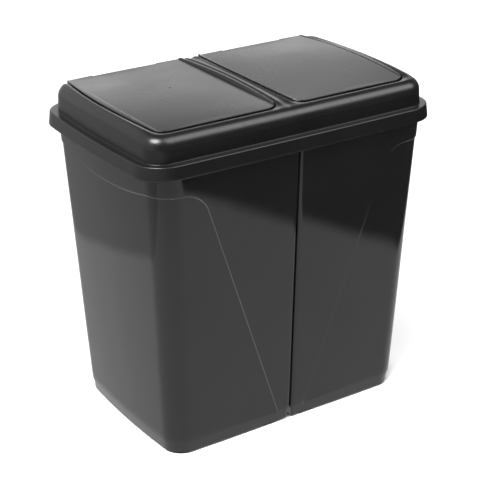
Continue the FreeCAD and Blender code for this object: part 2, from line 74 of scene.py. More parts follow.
# Bins
BASE_Z, PLINTH_Z, RIM_Z = 3.0, 19.0, 468.7
RIM_HALF_X, RIM_HALF_Y, RIM_CORNER_R, RIM_THICKNESS = 246.3, 161.6, 43.3, 3.0
WALL_TOP_X, WALL_TOP_Y = 234.1, 159.3      # right-hand bin's wall at the rim's height
END_DRAFT, SIDE_DRAFT = math.radians(2.85), math.radians(2.61)
WALL_CORNER_TOP, WALL_CORNER_TAPER = 38.1, 2.7 / 465.7
INNER_CORNER_R, SEAM_HALF = 5.0, 0.8
BIN_FLOOR, BIN_WALL = 2.5, 2.0
END_BOW, BIN_FRONT_BOW, FRAME_SIDE_BOW = 3.7, 1.0, 1.4
SAG_HALF_Y, SAG_FROM_X = 123.5, 196.0
WALL_FOOT, EDGE_ROUND, CAVITY_INSET = 0.9, 1.5, 4.7
WAVE_X, WAVE_Y, WAVE_Z, CALM_LOW, CALM_HIGH = 95.0, 80.0, 130.0, 60.0, 40.0
PLINTH_HIGHLIGHT_SHARE = 0.6                          # share of painted highlight on the line over the plinth, from 0 to 1

# Lid frame
BAND_Z, LEDGE_Z, DOME_Z = 451.5, 471.5, 514.2
BAND_HALF_X, BAND_HALF_Y, BAND_CORNER_R, BAND_DRAFT = 250.0, 165.3, 47.0, 2.0
DOME_HALF_X, DOME_HALF_Y, DOME_CORNER_R, DOME_REAR_R = 237.0, 151.0, 31.0, 38.0
DOME_BASE_Z, DOME_TOP_Z, DOME_DRAFT = 469.0, 518.6, 3.0
CROWN_Y, CROWN_R = 30.0, 2853.4
SHOULDER_START, LEDGE_FILLET, SKIN = 490.0, 0.6, 2.5

# Lids and their pockets
LID_FRONT_Y, LID_REAR_Y, LID_OUTER_X, DIVIDER_HALF = -126.9, 141.5, 212.0, 14.0
LID_INNER_BOW, LID_OUTER_BOW, LID_FRONT_R, LID_REAR_R = 5.4, 12.3, 22.0, 5.0
LID_GAP, LID_TOP_Z, LID_TILT_DROP, LID_RIM_DEPTH = 1.5, 510.2, 2.2, 6.5
LID_LEDGE_Z, LEDGE_UNDER_LID, CHANNEL_LIP = 501.2, 7.0, 1.0
TRAY_LEFT, TRAY_RIGHT, TRAY_INNER_BOW, TRAY_OUTER_BOW = 18.5, 209.5, 5.9, 6.5
CUTBACK, CUTBACK_LOW_X, CUTBACK_HIGH_X = 3.3, 59.4, 169.0
HINGE_Y, HINGE_Z, KNUCKLE_R, KNUCKLE_LENGTH = 134.0, 503.0, 4.2, 16.0
KNUCKLE_X = (189.0, 38.4)
PIN_BORE_R, EAR_GAP, EAR_THICKNESS, EAR_FRONT, EAR_STEP = 2.05, 0.4, 4.0, 9.0, 1.3
SHELF_Z, SHELF_FRONT_Y, REAR_WALL_Y, REAR_WALL_Z = 489.5, 118.5, 145.5, 498.0
HINGE_POCKET_LOW_X, HINGE_POCKET_HIGH_X = 11.5, 215.7


def length(name, description, mm, **limits):
    """A size that a user can change, given in millimetres."""
    return bpy.props.FloatProperty(name=name, description=description, default=mm * MM, unit="LENGTH",
                                   subtype="DISTANCE", precision=5, **limits)


def linear(code):
    """Linear red, green and blue of an sRGB hex colour."""
    channels = [int(code[i:i + 2], 16) / 255 for i in (1, 3, 5)]
    return [c / 12.92 if c <= 0.04045 else ((c + 0.055) / 1.055) ** 2.4 for c in channels]


def colour(name, description, code):
    """A colour that a user can change, given as sRGB hex."""
    return bpy.props.FloatVectorProperty(name=name, description=description, subtype="COLOR", size=3,
                                         default=linear(code), min=0.0, max=1.0)


class BinSettings(bpy.types.PropertyGroup):
    relief: length("Panel relief", "How far the raised panel stands out of the wall", 1.5)
    relief_run: length("Panel edge", "Width of the sloping edge of the raised panel", 2.0)
    panel_drop: length("Panel drop", "Rim to the panel's lower line", 46.7)
    panel_sag: length("Panel sag", "How much lower the line runs in the middle of the ends", 14.0)
    panel_shoulder: length("Panel shoulder", "End wall to the corner of the line and the tongue", 71.5)
    panel_toe: length("Panel toe", "Width of the tongue at the plinth", 22.0)
    panel_corner: length("Panel corner", "Radius between the line and the tongue", 44.0)
    plinth_inset: length("Plinth inset", "How far the plinth lies in from the panel's face", 3.2)
    waviness: length("Waviness", "How far the moulded walls wander out of true", 0.26)
    base: colour("Bin colour", "Colour of the glossy polypropylene", "#101010")


class FrameSettings(bpy.types.PropertyGroup):
    shoulder: length("Shoulder radius", "Rounding between the dome's wall and its top, at the front", 16.0)
    shoulder_rear: length("Rear shoulder radius", "The same at the back", 19.5)
    pocket_edge: length("Pocket edge", "Rounding round the edge of each lid's pocket", 1.0)
    pocket_sink: length("Pocket sink", "How far the border sinks towards the lids", 1.2)
    valley_depth: length("Valley depth", "Depth of the channel between the lids", 1.0)
    valley_rear: length("Valley rear depth", "How much deeper the channel is at its back end", 2.2)
    band_edge: length("Band edge", "Rounding of the band's top edge", 1.7)
    base: colour("Frame colour", "Colour of the satin polypropylene", "#0D0D0D")


class LidSettings(bpy.types.PropertyGroup):
    edge: length("Lid edge", "Rounding round the lid's top", 0.9)
    rail_drop: length("Rail drop", "Dome's crown to the lid's rails", 0.15)
    outer_rail: bpy.props.FloatProperty(
        name="Outer rail", default=0.5, min=0.0, max=1.0,
        description="Height of the rail at the lid's outer side, as a share of the one by the divider")
    outer_drop: length("Outer drop", "Dome's crown to the lid's surface at its outer side", 0.7)
    tray_tilt: length("Tray tilt", "How much lower the tray is at its front than at its back", 1.2)
    lid_play: length("Lid play", "Extra gap that the moulded lid leaves all round", 0.5)
    tray_slope: length("Tray slope", "Run of the tray's sloping sides", 1.7)
    tray_crown: length("Tray crown", "How far the tray rises in its middle", 0.7)


class StageSettings(bpy.types.PropertyGroup):
    floor_size: length("Floor size", "Side of the floor", 9000.0)
    floor_colour: colour("Floor colour", "Colour of the studio floor", "#FFFFFF")
    lens: bpy.props.FloatProperty(name="Lens", description="Focal length of the camera in millimetres",
                                  default=104.0)


# Plane geometry

def bow_radius(half_chord, bow):
    return (half_chord ** 2 + bow ** 2) / (2 * bow)


def mix(a, b, share):
    return a + (b - a) * share


def smooth(value):
    value = min(max(value, 0.0), 1.0)
    return value * value * (3 - 2 * value)


def bisect(low, high, before):
    """The place between two at which `before` stops being true."""
    for _ in range(30):
        middle = (low + high) / 2
        if before(middle):
            low = middle
        else:
            high = middle
    return (low + high) / 2


def circles_meet(centre_a, radius_a, centre_b, radius_b):
    """The point towards +X and -Y where two circles cross."""
    axis = (centre_b - centre_a).normalized()
    span = (centre_b - centre_a).length
    along = (radius_a ** 2 - radius_b ** 2 + span ** 2) / (2 * span)
    aside = math.sqrt(radius_a ** 2 - along ** 2)
    normal = Vector((-axis.y, axis.x))
    if normal.dot(Vector((1, -1))) < 0:
        normal.negate()
    return centre_a + axis * along + normal * aside


def arc(centre, radius, start, end):
    """A stretch of an outline: part of a circle, the short way round."""
    first = math.atan2(start.y - centre.y, start.x - centre.x)
    last = math.atan2(end.y - centre.y, end.x - centre.x)
    turn = (last - first + math.pi) % (2 * math.pi) - math.pi
    return lambda f: centre + Vector((math.cos(first + turn * f), math.sin(first + turn * f))) * radius


def line(start, end):
    return lambda f: start.lerp(end, f)


def x_on(stretch, y):
    """X of a stretch of an outline where its Y has a value."""
    rising = stretch(1).y > stretch(0).y
    return stretch(bisect(0.0, 1.0, lambda f: (stretch(f).y < y) == rising)).x


def touch(centre, radius, towards):
    return centre + (towards - centre).normalized() * radius


def flipped(point):
    return Vector((point.x, -point.y))


def sampled(stretches, counts):
    """Points along stretches, each divided into its own number of steps, without the last point."""
    return [stretch(i / count) for stretch, count in zip(stretches, counts) for i in range(count)]


# Meshes

class Shell:
    """Points and faces of one piece while it is being made, in millimetres, and the share of
    painted highlight at some of the points."""

    def __init__(self):
        self.points = []
        self.faces = []
        self.painted_highlight = {}

    def row(self, points):
        start = len(self.points)
        self.points += [tuple(p) for p in points]
        return list(range(start, len(self.points)))

    def skin(self, rows, closed=False):
        """Faces between neighbouring rows of the same length."""
        for a, b in zip(rows, rows[1:]):
            count = len(a)
            for i in range(count if closed else count - 1):
                j = (i + 1) % count
                self.faces.append((a[i], a[j], b[j], b[i]))

    def mirrored(self):
        """The same shell on the other side of the middle."""
        other = Shell()
        other.points = [(-x, y, z) for x, y, z in self.points]
        other.faces = [tuple(reversed(face)) for face in self.faces]
        other.painted_highlight = dict(self.painted_highlight)
        return other

    def add(self, other):
        shift = len(self.points)
        self.points += other.points
        self.faces += [tuple(i + shift for i in face) for face in other.faces]
        self.painted_highlight.update({i + shift: value for i, value in other.painted_highlight.items()})
        return self


def thicken(bm, thickness):
    """Give an open sheet a back face inside it and join the two round the open edges."""
    bm.normal_update()
    outer = bm.faces[:]
    open_edges = [(edge.link_loops[0].vert, edge.link_loops[0].link_loop_next.vert)
                  for edge in bm.edges if len(edge.link_faces) == 1]
    behind = {}
    for vert in bm.verts[:]:
        reach = thickness * min(vert.calc_shell_factor(), 1.45)
        behind[vert] = bm.verts.new(vert.co - vert.normal * reach)
    for face in outer:
        bm.faces.new([behind[vert] for vert in reversed(face.verts)])
    for a, b in open_edges:
        bm.faces.new((b, a, behind[a], behind[b]))


def make_piece(name, shell, material, body, nodes=(), thickness=0.0, extra=None, crease=32):
    """One object from a shell: joined, thickened inward if asked, and shaded smooth except
    over creases. `extra` is a closed shell that is added after the thickening."""
    bm = bmesh.new()
    # The share of painted highlight goes with the points as a mesh attribute.
    layer = bm.verts.layers.float.new("painted_highlight")

    def fill(source):
        verts = [bm.verts.new([c * MM for c in p]) for p in source.points]
        for index, value in source.painted_highlight.items():
            verts[index][layer] = value
        for face in source.faces:
            bm.faces.new([verts[i] for i in face])

    fill(shell)
    bmesh.ops.remove_doubles(bm, verts=bm.verts, dist=0.004 * MM)
    bmesh.ops.dissolve_degenerate(bm, dist=0.003 * MM, edges=bm.edges)
    bmesh.ops.delete(bm, geom=[v for v in bm.verts if not v.link_faces], context="VERTS")
    if thickness:
        thicken(bm, thickness * MM)
    if extra:
        fill(extra)
    for face in bm.faces:
        face.smooth = True
    limit = math.radians(crease)
    for edge in bm.edges:
        edge.smooth = len(edge.link_faces) == 2 and edge.calc_face_angle(0.0) < limit
    mesh = bpy.data.meshes.new(name)
    bm.to_mesh(mesh)
    bm.free()
    mesh.materials.append(material)
    obj = bpy.data.objects.new(name, mesh)
    bpy.context.scene.collection.objects.link(obj)
    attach(obj, body)
    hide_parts(*nodes)
    return obj


# Materials

def add_node(tree, kind, values=None, links=None, **settings):
    """One node with its settings, the values of its sockets and the links that reach it."""
    made = tree.nodes.new(kind)
    for key, value in settings.items():
        setattr(made, key, value)
    for socket, value in (values or {}).items():
        made.inputs[socket].default_value = value
    for socket, source in (links or {}).items():
        tree.links.new(source, made.inputs[socket])
    return made


def combine(tree, operation, a, b):
    """Two sockets joined by a sum, a product or the like."""
    return add_node(tree, "ShaderNodeMath", operation=operation, links={0: a, 1: b}).outputs[0]


def vector(tree, operation, source, constant=(0.0, 0.0, 0.0)):
    """A vector joined with a constant one; lengths and dot products are numbers."""
    made = add_node(tree, "ShaderNodeVectorMath", {1: constant}, {0: source}, operation=operation)
    return made.outputs["Value" if operation in ("LENGTH", "DOT_PRODUCT") else "Vector"]


def ramp(tree, value, start, end, low, high, kind="SMOOTHSTEP"):
    """`low` before the start, `high` after the end, and a soft or LINEAR change between them."""
    return add_node(tree, "ShaderNodeMapRange",
                    {"From Min": start, "From Max": end, "To Min": low, "To Max": high},
                    {"Value": value}, interpolation_type=kind).outputs[0]


def speckle(tree, place, size, detail):
    """Noise with features of a size in millimetres."""
    return add_node(tree, "ShaderNodeTexNoise", {"Scale": 1 / (size * MM), "Detail": detail},
                    {"Vector": place}).outputs["Fac"]


def bump(tree, height, distance, normal=None):
    """The normal of a relief whose full height is a distance in metres."""
    links = {"Height": height} if normal is None else {"Height": height, "Normal": normal}
    return add_node(tree, "ShaderNodeBump", {"Strength": 1.0, "Distance": distance}, links).outputs[0]


def mix_shaders(tree, share, first, second):
    return add_node(tree, "ShaderNodeMixShader", links={"Fac": share, 1: first, 2: second}).outputs[0]


def new_material(name):
    found = bpy.data.materials.get(name)
    if found:
        return found, None
    material = bpy.data.materials.new(name)
    material.use_nodes = True
    material.node_tree.nodes.clear()
    return material, material.node_tree


# The second colour is the painted highlight mixed in along the bins' edge lines.
PLASTIC_IOR, PAINTED_HIGHLIGHT_COLOUR = 1.49, "#3C3C3A"


def plastic(name, base, paler, roughness, peel, grain, scuff, marks=()):
    """Moulded plastic, up to `paler` times as light as its base colour. `peel` and `grain` are
    (feature mm, height mm) of the moulded skin. Each mark has its place in plan, its half
    widths, its change of roughness and its height in mm."""
    material, tree = new_material(name)
    if tree is None:
        return material
    place = add_node(tree, "ShaderNodeTexCoord").outputs["Object"]
    cloud = speckle(tree, place, 90, 2.0)
    flow = add_node(tree, "ShaderNodeMapping", {"Scale": (1.0, 1.0, 0.12)}, {"Vector": place}).outputs[0]
    worn = ramp(tree, speckle(tree, flow, 7, 4.0), 0.62, 0.78, 0.0, scuff, "LINEAR")
    clouded = add_node(tree, "ShaderNodeMix", {"A": (*base, 1), "B": (*[c * paler for c in base], 1)},
                       {"Factor": cloud}, data_type="RGBA").outputs["Result"]
    # Painted highlight: a paler colour is mixed in along the edge lines marked on the mesh, where their
    # rounded edges would catch the light.
    painted_highlight = add_node(tree, "ShaderNodeAttribute", attribute_name="painted_highlight",
                    attribute_type="GEOMETRY").outputs["Fac"]
    tone_and_highlight = add_node(tree, "ShaderNodeMix", {"B": (*linear(PAINTED_HIGHLIGHT_COLOUR), 1)},
                          {"Factor": painted_highlight, "A": clouded}, data_type="RGBA").outputs["Result"]
    rough = ramp(tree, cloud, 0.3, 0.7, roughness * 0.9, roughness * 1.12, "LINEAR")
    rough = combine(tree, "ADD", rough, worn)
    relief = None
    for centre, halves, rougher, height in marks:
        from_mark = vector(tree, "ADD", place, (-centre[0] * MM, -centre[1] * MM, 0))
        shape = vector(tree, "MULTIPLY", from_mark, (1 / (halves[0] * MM), 1 / (halves[1] * MM), 0))
        mask = ramp(tree, vector(tree, "LENGTH", shape), 0.7, 1.2, 1.0, 0.0)
        rough = add_node(tree, "ShaderNodeMath", {1: rougher}, {0: mask, 2: rough},
                         operation="MULTIPLY_ADD").outputs[0]
        lift = add_node(tree, "ShaderNodeMath", {1: height}, {0: mask}, operation="MULTIPLY").outputs[0]
        relief = lift if relief is None else combine(tree, "ADD", relief, lift)
    normal = bump(tree, speckle(tree, place, peel[0], 1.0), peel[1] * MM)
    normal = bump(tree, speckle(tree, place, grain[0], 2.0), grain[1] * MM, normal)
    if relief is not None:
        normal = bump(tree, relief, MM, normal)
    shader = add_node(tree, "ShaderNodeBsdfPrincipled", {"IOR": PLASTIC_IOR},
                      {"Base Color": tone_and_highlight, "Roughness": rough, "Normal": normal})
    add_node(tree, "ShaderNodeOutputMaterial", links={"Surface": shader.outputs[0]})
    return material


def bin_material(settings):
    # Polypropylene, injection moulded against a polished tool: a deep gloss whose reflections
    # bend with the slightly wavy wall, with a faint orange peel and a few upright scuffs.
    # The pale lines along the panel's edge and over the plinth are painted highlight.
    return plastic("Glossy moulded polypropylene", settings.base, 1.5, 0.055,
                   peel=(12.0, 0.003), grain=(1.6, 0.0004), scuff=0.08)


# Marks in the moulding: the place in plan, half widths, change of roughness and height.
GATE_MARK = ((-104.8, 21.6), (1.7, 1.7), 0.35, -0.25)
LID_SCUFFS = [((121.9, 19.1), (6.5, 0.9), -0.07, 0.04), ((70.6, 15.8), (4.0, 0.8), -0.06, 0.03)]
WITNESS_LINES = [((-88.1, -143.0), (0.5, 26.0), 0.12, 0.03), ((94.8, -143.0), (0.5, 26.0), 0.12, 0.03)]


def frame_material(settings):
    # Polypropylene, injection moulded against a finely textured tool: an even satin sheen, with
    # a witness line of the tool on each side of the front. The tool's grain is about 0.2 mm
    # and is drawn at 2.2 mm so that it shows.
    return plastic("Satin moulded polypropylene", settings.base, 1.6, 0.31,
                   peel=(14.0, 0.004), grain=(2.2, 0.0030), scuff=0.06, marks=WITNESS_LINES)


def lid_material(settings):
    # The same polypropylene from a smoother tool: a little glossier than the frame, with the
    # mark of a moulding gate and faint scuffs from use.
    return plastic("Satin moulded lid polypropylene", settings.base, 1.6, 0.27,
                   peel=(16.0, 0.004), grain=(2.2, 0.0010), scuff=0.04, marks=[GATE_MARK] + LID_SCUFFS)


# Bins

# Steps along the seam, the inner corner, the front, the outer corner and half of the end, and
# steps up the wall below, over and above the panel's edge.
BIN_STEPS, WALL_STEPS = (12, 5, 66, 14, 26), (34, 8, 34)


def bin_loop(inner_x, outer_x, half_y, outer_r, inner_r):
    """Outline of the right-hand bin, from the middle of the seam round by the front."""
    middle_x = (inner_x + outer_x) / 2
    front_r = bow_radius((outer_x - inner_x) / 2, BIN_FRONT_BOW)
    end_r = bow_radius(half_y - outer_r, END_BOW)
    front = Vector((middle_x, front_r - half_y - BIN_FRONT_BOW))
    end = Vector((outer_x + END_BOW - end_r, 0))
    outer = circles_meet(front, front_r - outer_r, end, end_r - outer_r)
    inner_dx = inner_x + inner_r - middle_x
    inner = Vector((inner_x + inner_r, front.y - math.sqrt((front_r - inner_r) ** 2 - inner_dx ** 2)))
    on_seam = Vector((inner_x, inner.y))
    on_front = touch(front, front_r, inner)
    front_end = touch(front, front_r, outer)
    end_start = touch(end, end_r, outer)
    half = sampled([line(Vector((inner_x, 0)), on_seam), arc(inner, inner_r, on_seam, on_front),
                    arc(front, front_r, on_front, front_end), arc(outer, outer_r, front_end, end_start),
                    arc(end, end_r, end_start, Vector((outer_x + END_BOW, 0)))],
                   BIN_STEPS)
    return half + [Vector((outer_x + END_BOW, 0))] + [flipped(p) for p in reversed(half[1:])]


def wall_loop(z, inset):
    below = RIM_Z - z
    return bin_loop(SEAM_HALF + inset, WALL_TOP_X - below * math.tan(END_DRAFT) - inset,
                    WALL_TOP_Y - below * math.tan(SIDE_DRAFT) - inset,
                    WALL_CORNER_TOP - WALL_CORNER_TAPER * below - inset, INNER_CORNER_R - inset)


class PanelLine:
    """Lower edge of the raised panel, as a height over the plan."""

    def __init__(self, settings):
        self.level = RIM_Z - settings.panel_drop / MM
        self.sag = settings.panel_sag / MM
        self.toe_x = SEAM_HALF + settings.panel_toe / MM
        corner = Vector((WALL_TOP_X - settings.panel_shoulder / MM, self.level))
        toe = Vector((self.toe_x, PLINTH_Z))
        down = (toe - corner).normalized()
        self.radius = settings.panel_corner / MM
        reach = self.radius * math.tan((math.pi - math.acos(down.x)) / 2)
        self.flat_x = corner.x + reach
        self.bend_x = corner.x + down.x * reach
        self.slope = (corner.y - toe.y) / (corner.x - toe.x)

    def at(self, x, y):
        """Height of the line and its slope."""
        if x > SAG_FROM_X and abs(y) < SAG_HALF_Y:
            share = abs(y) / SAG_HALF_Y
            return self.level - self.sag * (1 - share ** 2), 2 * self.sag * share / SAG_HALF_Y
        if x >= self.flat_x:
            return self.level, 0.0
        if x > self.bend_x:
            across = self.flat_x - x
            rise = math.sqrt(self.radius ** 2 - across ** 2)
            return self.level - self.radius + rise, across / rise
        return PLINTH_Z + (x - self.toe_x) * self.slope, self.slope


def bin_shell(settings, side):
    """Closed shell of one bin, made as the right-hand one; `side` only seeds its waves."""
    relief, run = settings.relief / MM, settings.relief_run / MM
    plinth_inset, waviness = settings.plinth_inset / MM, settings.waviness / MM
    panel = PanelLine(settings)
    faces_low, faces_high = wall_loop(PLINTH_Z, 0), wall_loop(RIM_Z, 0)
    inset_low, inset_high = wall_loop(PLINTH_Z, relief), wall_loop(RIM_Z, relief)
    columns = len(faces_low)
    wall_low, wall_high = PLINTH_Z + WALL_FOOT, RIM_Z - RIM_THICKNESS

    def wall_point(i, z, inset):
        share = (z - PLINTH_Z) / (RIM_Z - PLINTH_Z)
        face = faces_low[i].lerp(faces_high[i], share)
        inner = inset_low[i].lerp(inset_high[i], share)
        return face + (inner - face) * (inset / relief)

    def raised(i, z):
        """1 on the panel, 0 on the wall below it."""
        here = wall_point(i, z, 0)
        height, slope = panel.at(here.x, here.y)
        return smooth((z - height) / math.hypot(1, slope) / run + 0.5)

    def wave(point, z):
        calm = smooth((z - PLINTH_Z) / CALM_LOW) * smooth((wall_high - z) / CALM_HIGH)
        spot = Vector((point.x / WAVE_X, point.y / WAVE_Y, z / WAVE_Z)) + Vector((7.3 * side, 3.1, 1.7))
        return waviness * calm * (noise.noise(spot) + 0.35 * noise.noise(spot * 2.3))

    def wall_column(i):
        """Points up the wall, closer together over the panel's edge."""
        height, slope = PLINTH_Z, panel.slope
        for _ in range(4):
            here = wall_point(i, min(max(height, PLINTH_Z), wall_high), 0)
            height, slope = panel.at(here.x, here.y)
        half = run * 0.62 * math.hypot(1, slope)
        marks = [wall_low, height - half, height + half, wall_high]
        marks = [min(max(mark, wall_low), wall_high) for mark in marks]
        levels = [mix(low, high, k / count) for low, high, count in zip(marks, marks[1:], WALL_STEPS)
                  for k in range(count)]
        outward = (faces_low[i] - inset_low[i]).normalized()
        column = []
        for z in levels + [wall_high]:
            place = wall_point(i, z, relief * (1 - raised(i, z)))
            place += outward * (wave(place, z) - waviness * 0.2)
            column.append((place.x, place.y, z))
        return column

    def profile_row(z, insets):
        return shell.row([(*wall_point(i, z, inset), z) for i, inset in enumerate(insets)])

    def rim_row(z, inset):
        seam_inset = min(inset, SEAM_HALF)
        loop = bin_loop(SEAM_HALF + seam_inset, RIM_HALF_X - inset, RIM_HALF_Y - inset,
                        RIM_CORNER_R - inset, INNER_CORNER_R - seam_inset)
        return shell.row([(*p, z) for p in loop])

    shell = Shell()
    rows = [shell.row(points) for points in zip(*[wall_column(i) for i in range(columns)])]
    # Painted highlight along the panel's edge, strongest midway up its slope.
    for row in rows:
        for i, index in enumerate(row):
            level = raised(i, shell.points[index][2])
            shell.painted_highlight[index] = 4 * level * (1 - level)
    plinth = [(BASE_Z, EDGE_ROUND), (BASE_Z + 0.44, 0.44), (BASE_Z + EDGE_ROUND, 0.0), (PLINTH_Z - 0.5, 0.0),
              (PLINTH_Z - 0.1, -0.15), (PLINTH_Z, -0.5)]
    below = [profile_row(z, [plinth_inset + more] * columns) for z, more in plinth]
    foot = [relief * (1 - raised(i, wall_low)) for i in range(columns)]
    # The plinth's top rows, with painted highlight on the line they make.
    for z, more in ((PLINTH_Z, WALL_FOOT), (PLINTH_Z + 0.26, 0.26)):
        below.append(profile_row(z, [inset + more for inset in foot]))
        shell.painted_highlight.update({index: PLINTH_HIGHLIGHT_SHARE for index in below[-1]})
    above = [rim_row(z, inset) for z, inset in (
        (wall_high, 0.5), (wall_high + 0.5, 0), (RIM_Z - 0.8, 0), (RIM_Z - 0.23, 0.23), (RIM_Z, 0.8))]
    inside = [profile_row(z, [inset] * columns) for z, inset in (
        (RIM_Z, relief + BIN_WALL - 0.6), (RIM_Z - 0.6, relief + BIN_WALL), (PLINTH_Z + 4, relief + BIN_WALL),
        (PLINTH_Z + 2, CAVITY_INSET), (BASE_Z + BIN_FLOOR + 1, CAVITY_INSET),
        (BASE_Z + BIN_FLOOR, CAVITY_INSET + 0.2))]
    shell.skin(below + rows + above + inside, closed=True)
    shell.faces += [tuple(reversed(below[0])), tuple(inside[-1])]
    return shell


# Lid frame

def frame_outline(half_x, half_y, corner_r, rear_r=None):
    """Right-hand half of the frame's bowed outline, from the middle of the front round to the
    middle of the back: five stretches."""
    rear_r = rear_r or corner_r
    side_r = bow_radius(half_x - corner_r, FRAME_SIDE_BOW)
    end_r = bow_radius(half_y - corner_r, END_BOW)
    side = Vector((0, side_r - half_y - FRAME_SIDE_BOW))
    end = Vector((half_x + END_BOW - end_r, 0))
    corner = circles_meet(side, side_r - corner_r, end, end_r - corner_r)
    rear = circles_meet(side, side_r - rear_r, end, end_r - rear_r)
    on_side, on_end = touch(side, side_r, corner), touch(end, end_r, corner)
    rear_side, rear_end = flipped(touch(side, side_r, rear)), flipped(touch(end, end_r, rear))
    front = Vector((0, -half_y - FRAME_SIDE_BOW))
    stretches = [arc(side, side_r, front, on_side), arc(corner, corner_r, on_side, on_end),
                 arc(end, end_r, on_end, rear_end), arc(flipped(rear), rear_r, rear_end, rear_side),
                 arc(flipped(side), side_r, rear_side, flipped(front))]
    return stretches, (side, side_r, end, end_r, {-1: (corner, corner_r), 1: (rear, rear_r)})


def on_outline(stretches, place):
    index = min(int(place), 4)
    return stretches[index](place - index)


def crown_z(y):
    return DOME_Z - (CROWN_R - math.sqrt(CROWN_R ** 2 - (y - CROWN_Y) ** 2))


def dome_inset(z):
    return DOME_DRAFT * (z - DOME_BASE_Z) / (DOME_TOP_Z - DOME_BASE_Z)


def dome_outline(z, extra=0.0):
    inset = dome_inset(z) + extra
    return frame_outline(DOME_HALF_X - inset, DOME_HALF_Y - inset, DOME_CORNER_R - inset, DOME_REAR_R - inset)


_, SHOULDER_SHAPE = dome_outline(SHOULDER_START)


def inward(x, y):
    """How far a point of the plan lies inside the dome's wall."""
    side, side_r, end, end_r, corners = SHOULDER_SHAPE
    corner, corner_r = corners[1 if y > 0 else -1]
    point = Vector((abs(x), -abs(y)))
    along_side = (corner - side).normalized()
    along_end = (corner - end).normalized()
    past_side = (point - corner).dot(Vector((-along_side.y, along_side.x))) > 0
    past_end = (point - corner).dot(Vector((along_end.y, -along_end.x))) > 0
    if past_side and past_end:
        return corner_r - (point - corner).length
    return min(side_r - (point - side).length, end_r - (point - end).length)


def divider_half(y, grow):
    """Half width of the divider between the pockets, at a place along it."""
    half = (LID_REAR_Y - LID_FRONT_Y) / 2 + grow
    middle = (LID_REAR_Y + LID_FRONT_Y) / 2
    radius = bow_radius(half, LID_INNER_BOW)
    reach = min(abs(y - middle), half)
    return DIVIDER_HALF - grow - LID_INNER_BOW + radius - math.sqrt(radius ** 2 - reach ** 2)


def shoulder_at(settings, y):
    return mix(settings.shoulder, settings.shoulder_rear, smooth((y + 110) / 220)) / MM


def top_height(settings, x, y):
    """Height of the frame's top: crown, rounded shoulder and the channel between the lids."""
    shoulder = shoulder_at(settings, y)
    short = min(max(0.0, shoulder - inward(x, y)), shoulder)
    drop = shoulder - math.sqrt(shoulder ** 2 - short ** 2)
    reach = divider_half(y, LID_GAP) - CHANNEL_LIP
    fade = smooth((y - LID_FRONT_Y + 15) / 26)
    depth = (settings.valley_depth + settings.valley_rear * smooth((y - 95) / 50)) / MM
    channel = depth * smooth(1 - min(abs(x) / reach, 1.0)) * fade
    dip = 1.2 * smooth((-108 - y) / 20)
    return crown_z(y) - drop - channel - dip


def lid_plan(grow):
    """Eight stretches of the right-hand lid's plan, moved outward: inner side, front corner,
    front, front corner, outer side, rear corner, rear, rear corner."""
    front_y, rear_y = LID_FRONT_Y - grow, LID_REAR_Y + grow
    middle, half = (front_y + rear_y) / 2, (rear_y - front_y) / 2
    inner_r, outer_r = bow_radius(half, LID_INNER_BOW), bow_radius(half, LID_OUTER_BOW)
    inner = Vector((DIVIDER_HALF - grow - LID_INNER_BOW + inner_r, middle))
    outer = Vector((LID_OUTER_X + grow + LID_OUTER_BOW - outer_r, middle))
    front_r, rear_r = LID_FRONT_R + grow, max(LID_REAR_R + grow, 1.0)

    def corner(circle, radius, towards, edge_y, r):
        y = edge_y - math.copysign(r, edge_y)
        return Vector((circle.x + towards * math.sqrt((radius - r) ** 2 - (y - circle.y) ** 2), y))

    fi, fo = corner(inner, inner_r, -1, front_y, front_r), corner(outer, outer_r, 1, front_y, front_r)
    ri, ro = corner(inner, inner_r, -1, rear_y, rear_r), corner(outer, outer_r, 1, rear_y, rear_r)
    on_fi, on_ri = touch(inner, inner_r, fi), touch(inner, inner_r, ri)
    on_fo, on_ro = touch(outer, outer_r, fo), touch(outer, outer_r, ro)
    front = [Vector((fi.x, front_y)), Vector((fo.x, front_y))]
    rear = [Vector((ro.x, rear_y)), Vector((ri.x, rear_y))]
    return [arc(inner, inner_r, on_ri, on_fi), arc(fi, front_r, on_fi, front[0]), line(*front),
            arc(fo, front_r, front[1], on_fo), arc(outer, outer_r, on_fo, on_ro),
            arc(ro, rear_r, on_ro, rear[0]), line(*rear), arc(ri, rear_r, rear[1], on_ri)]


HINGE_STEPS, SIDE_STEPS, ARC_STEPS, POCKET_FRONT_STEPS, REAR_STEPS, FAN_STEPS = 12, 52, 20, 44, 56, 8


def pocket_loop(grow):
    """Edge of the right-hand lid's pocket, from the back of its inner side round by the front to
    the back of its outer side."""
    plan = lid_plan(grow)
    low_x = HINGE_POCKET_LOW_X - (grow - LID_GAP)
    high_x = HINGE_POCKET_HIGH_X + (grow - LID_GAP)

    def side(stretch, start_y, end_y, limit, pick):
        def place(f):
            y = mix(start_y, end_y, f)
            return Vector((pick(x_on(stretch, y), limit), y))
        return place

    stretches = [side(plan[0], REAR_WALL_Y, SHELF_FRONT_Y, low_x, min),
                 side(plan[0], SHELF_FRONT_Y, plan[0](1).y, low_x, min), plan[1], plan[2], plan[3],
                 side(plan[4], plan[4](0).y, SHELF_FRONT_Y, high_x, max),
                 side(plan[4], SHELF_FRONT_Y, REAR_WALL_Y, high_x, max)]
    counts = [HINGE_STEPS, SIDE_STEPS, ARC_STEPS, POCKET_FRONT_STEPS, ARC_STEPS, SIDE_STEPS, HINGE_STEPS]
    return sampled(stretches, counts) + [stretches[-1](1)]


BORDER_ROWS, WALL_ROWS = 22, 5
# Places on the dome's outline, counted in stretches: its front corner's middle, and the middle
# of the back. The front's columns reach a little past the front's end.
CORNER_MIDDLE, BACK_MIDDLE, FRONT_REACH = 1.5, 5.0, 1.0725
# Shares of the pocket's outer side, and the place on the outline that each one leaves from.
OUTER_PLACES = [(0.0, CORNER_MIDDLE), (0.11, 2.0), (0.87, 3.0)]


def band_outline(inset):
    return frame_outline(BAND_HALF_X - inset, BAND_HALF_Y - inset, BAND_CORNER_R - inset)[0]


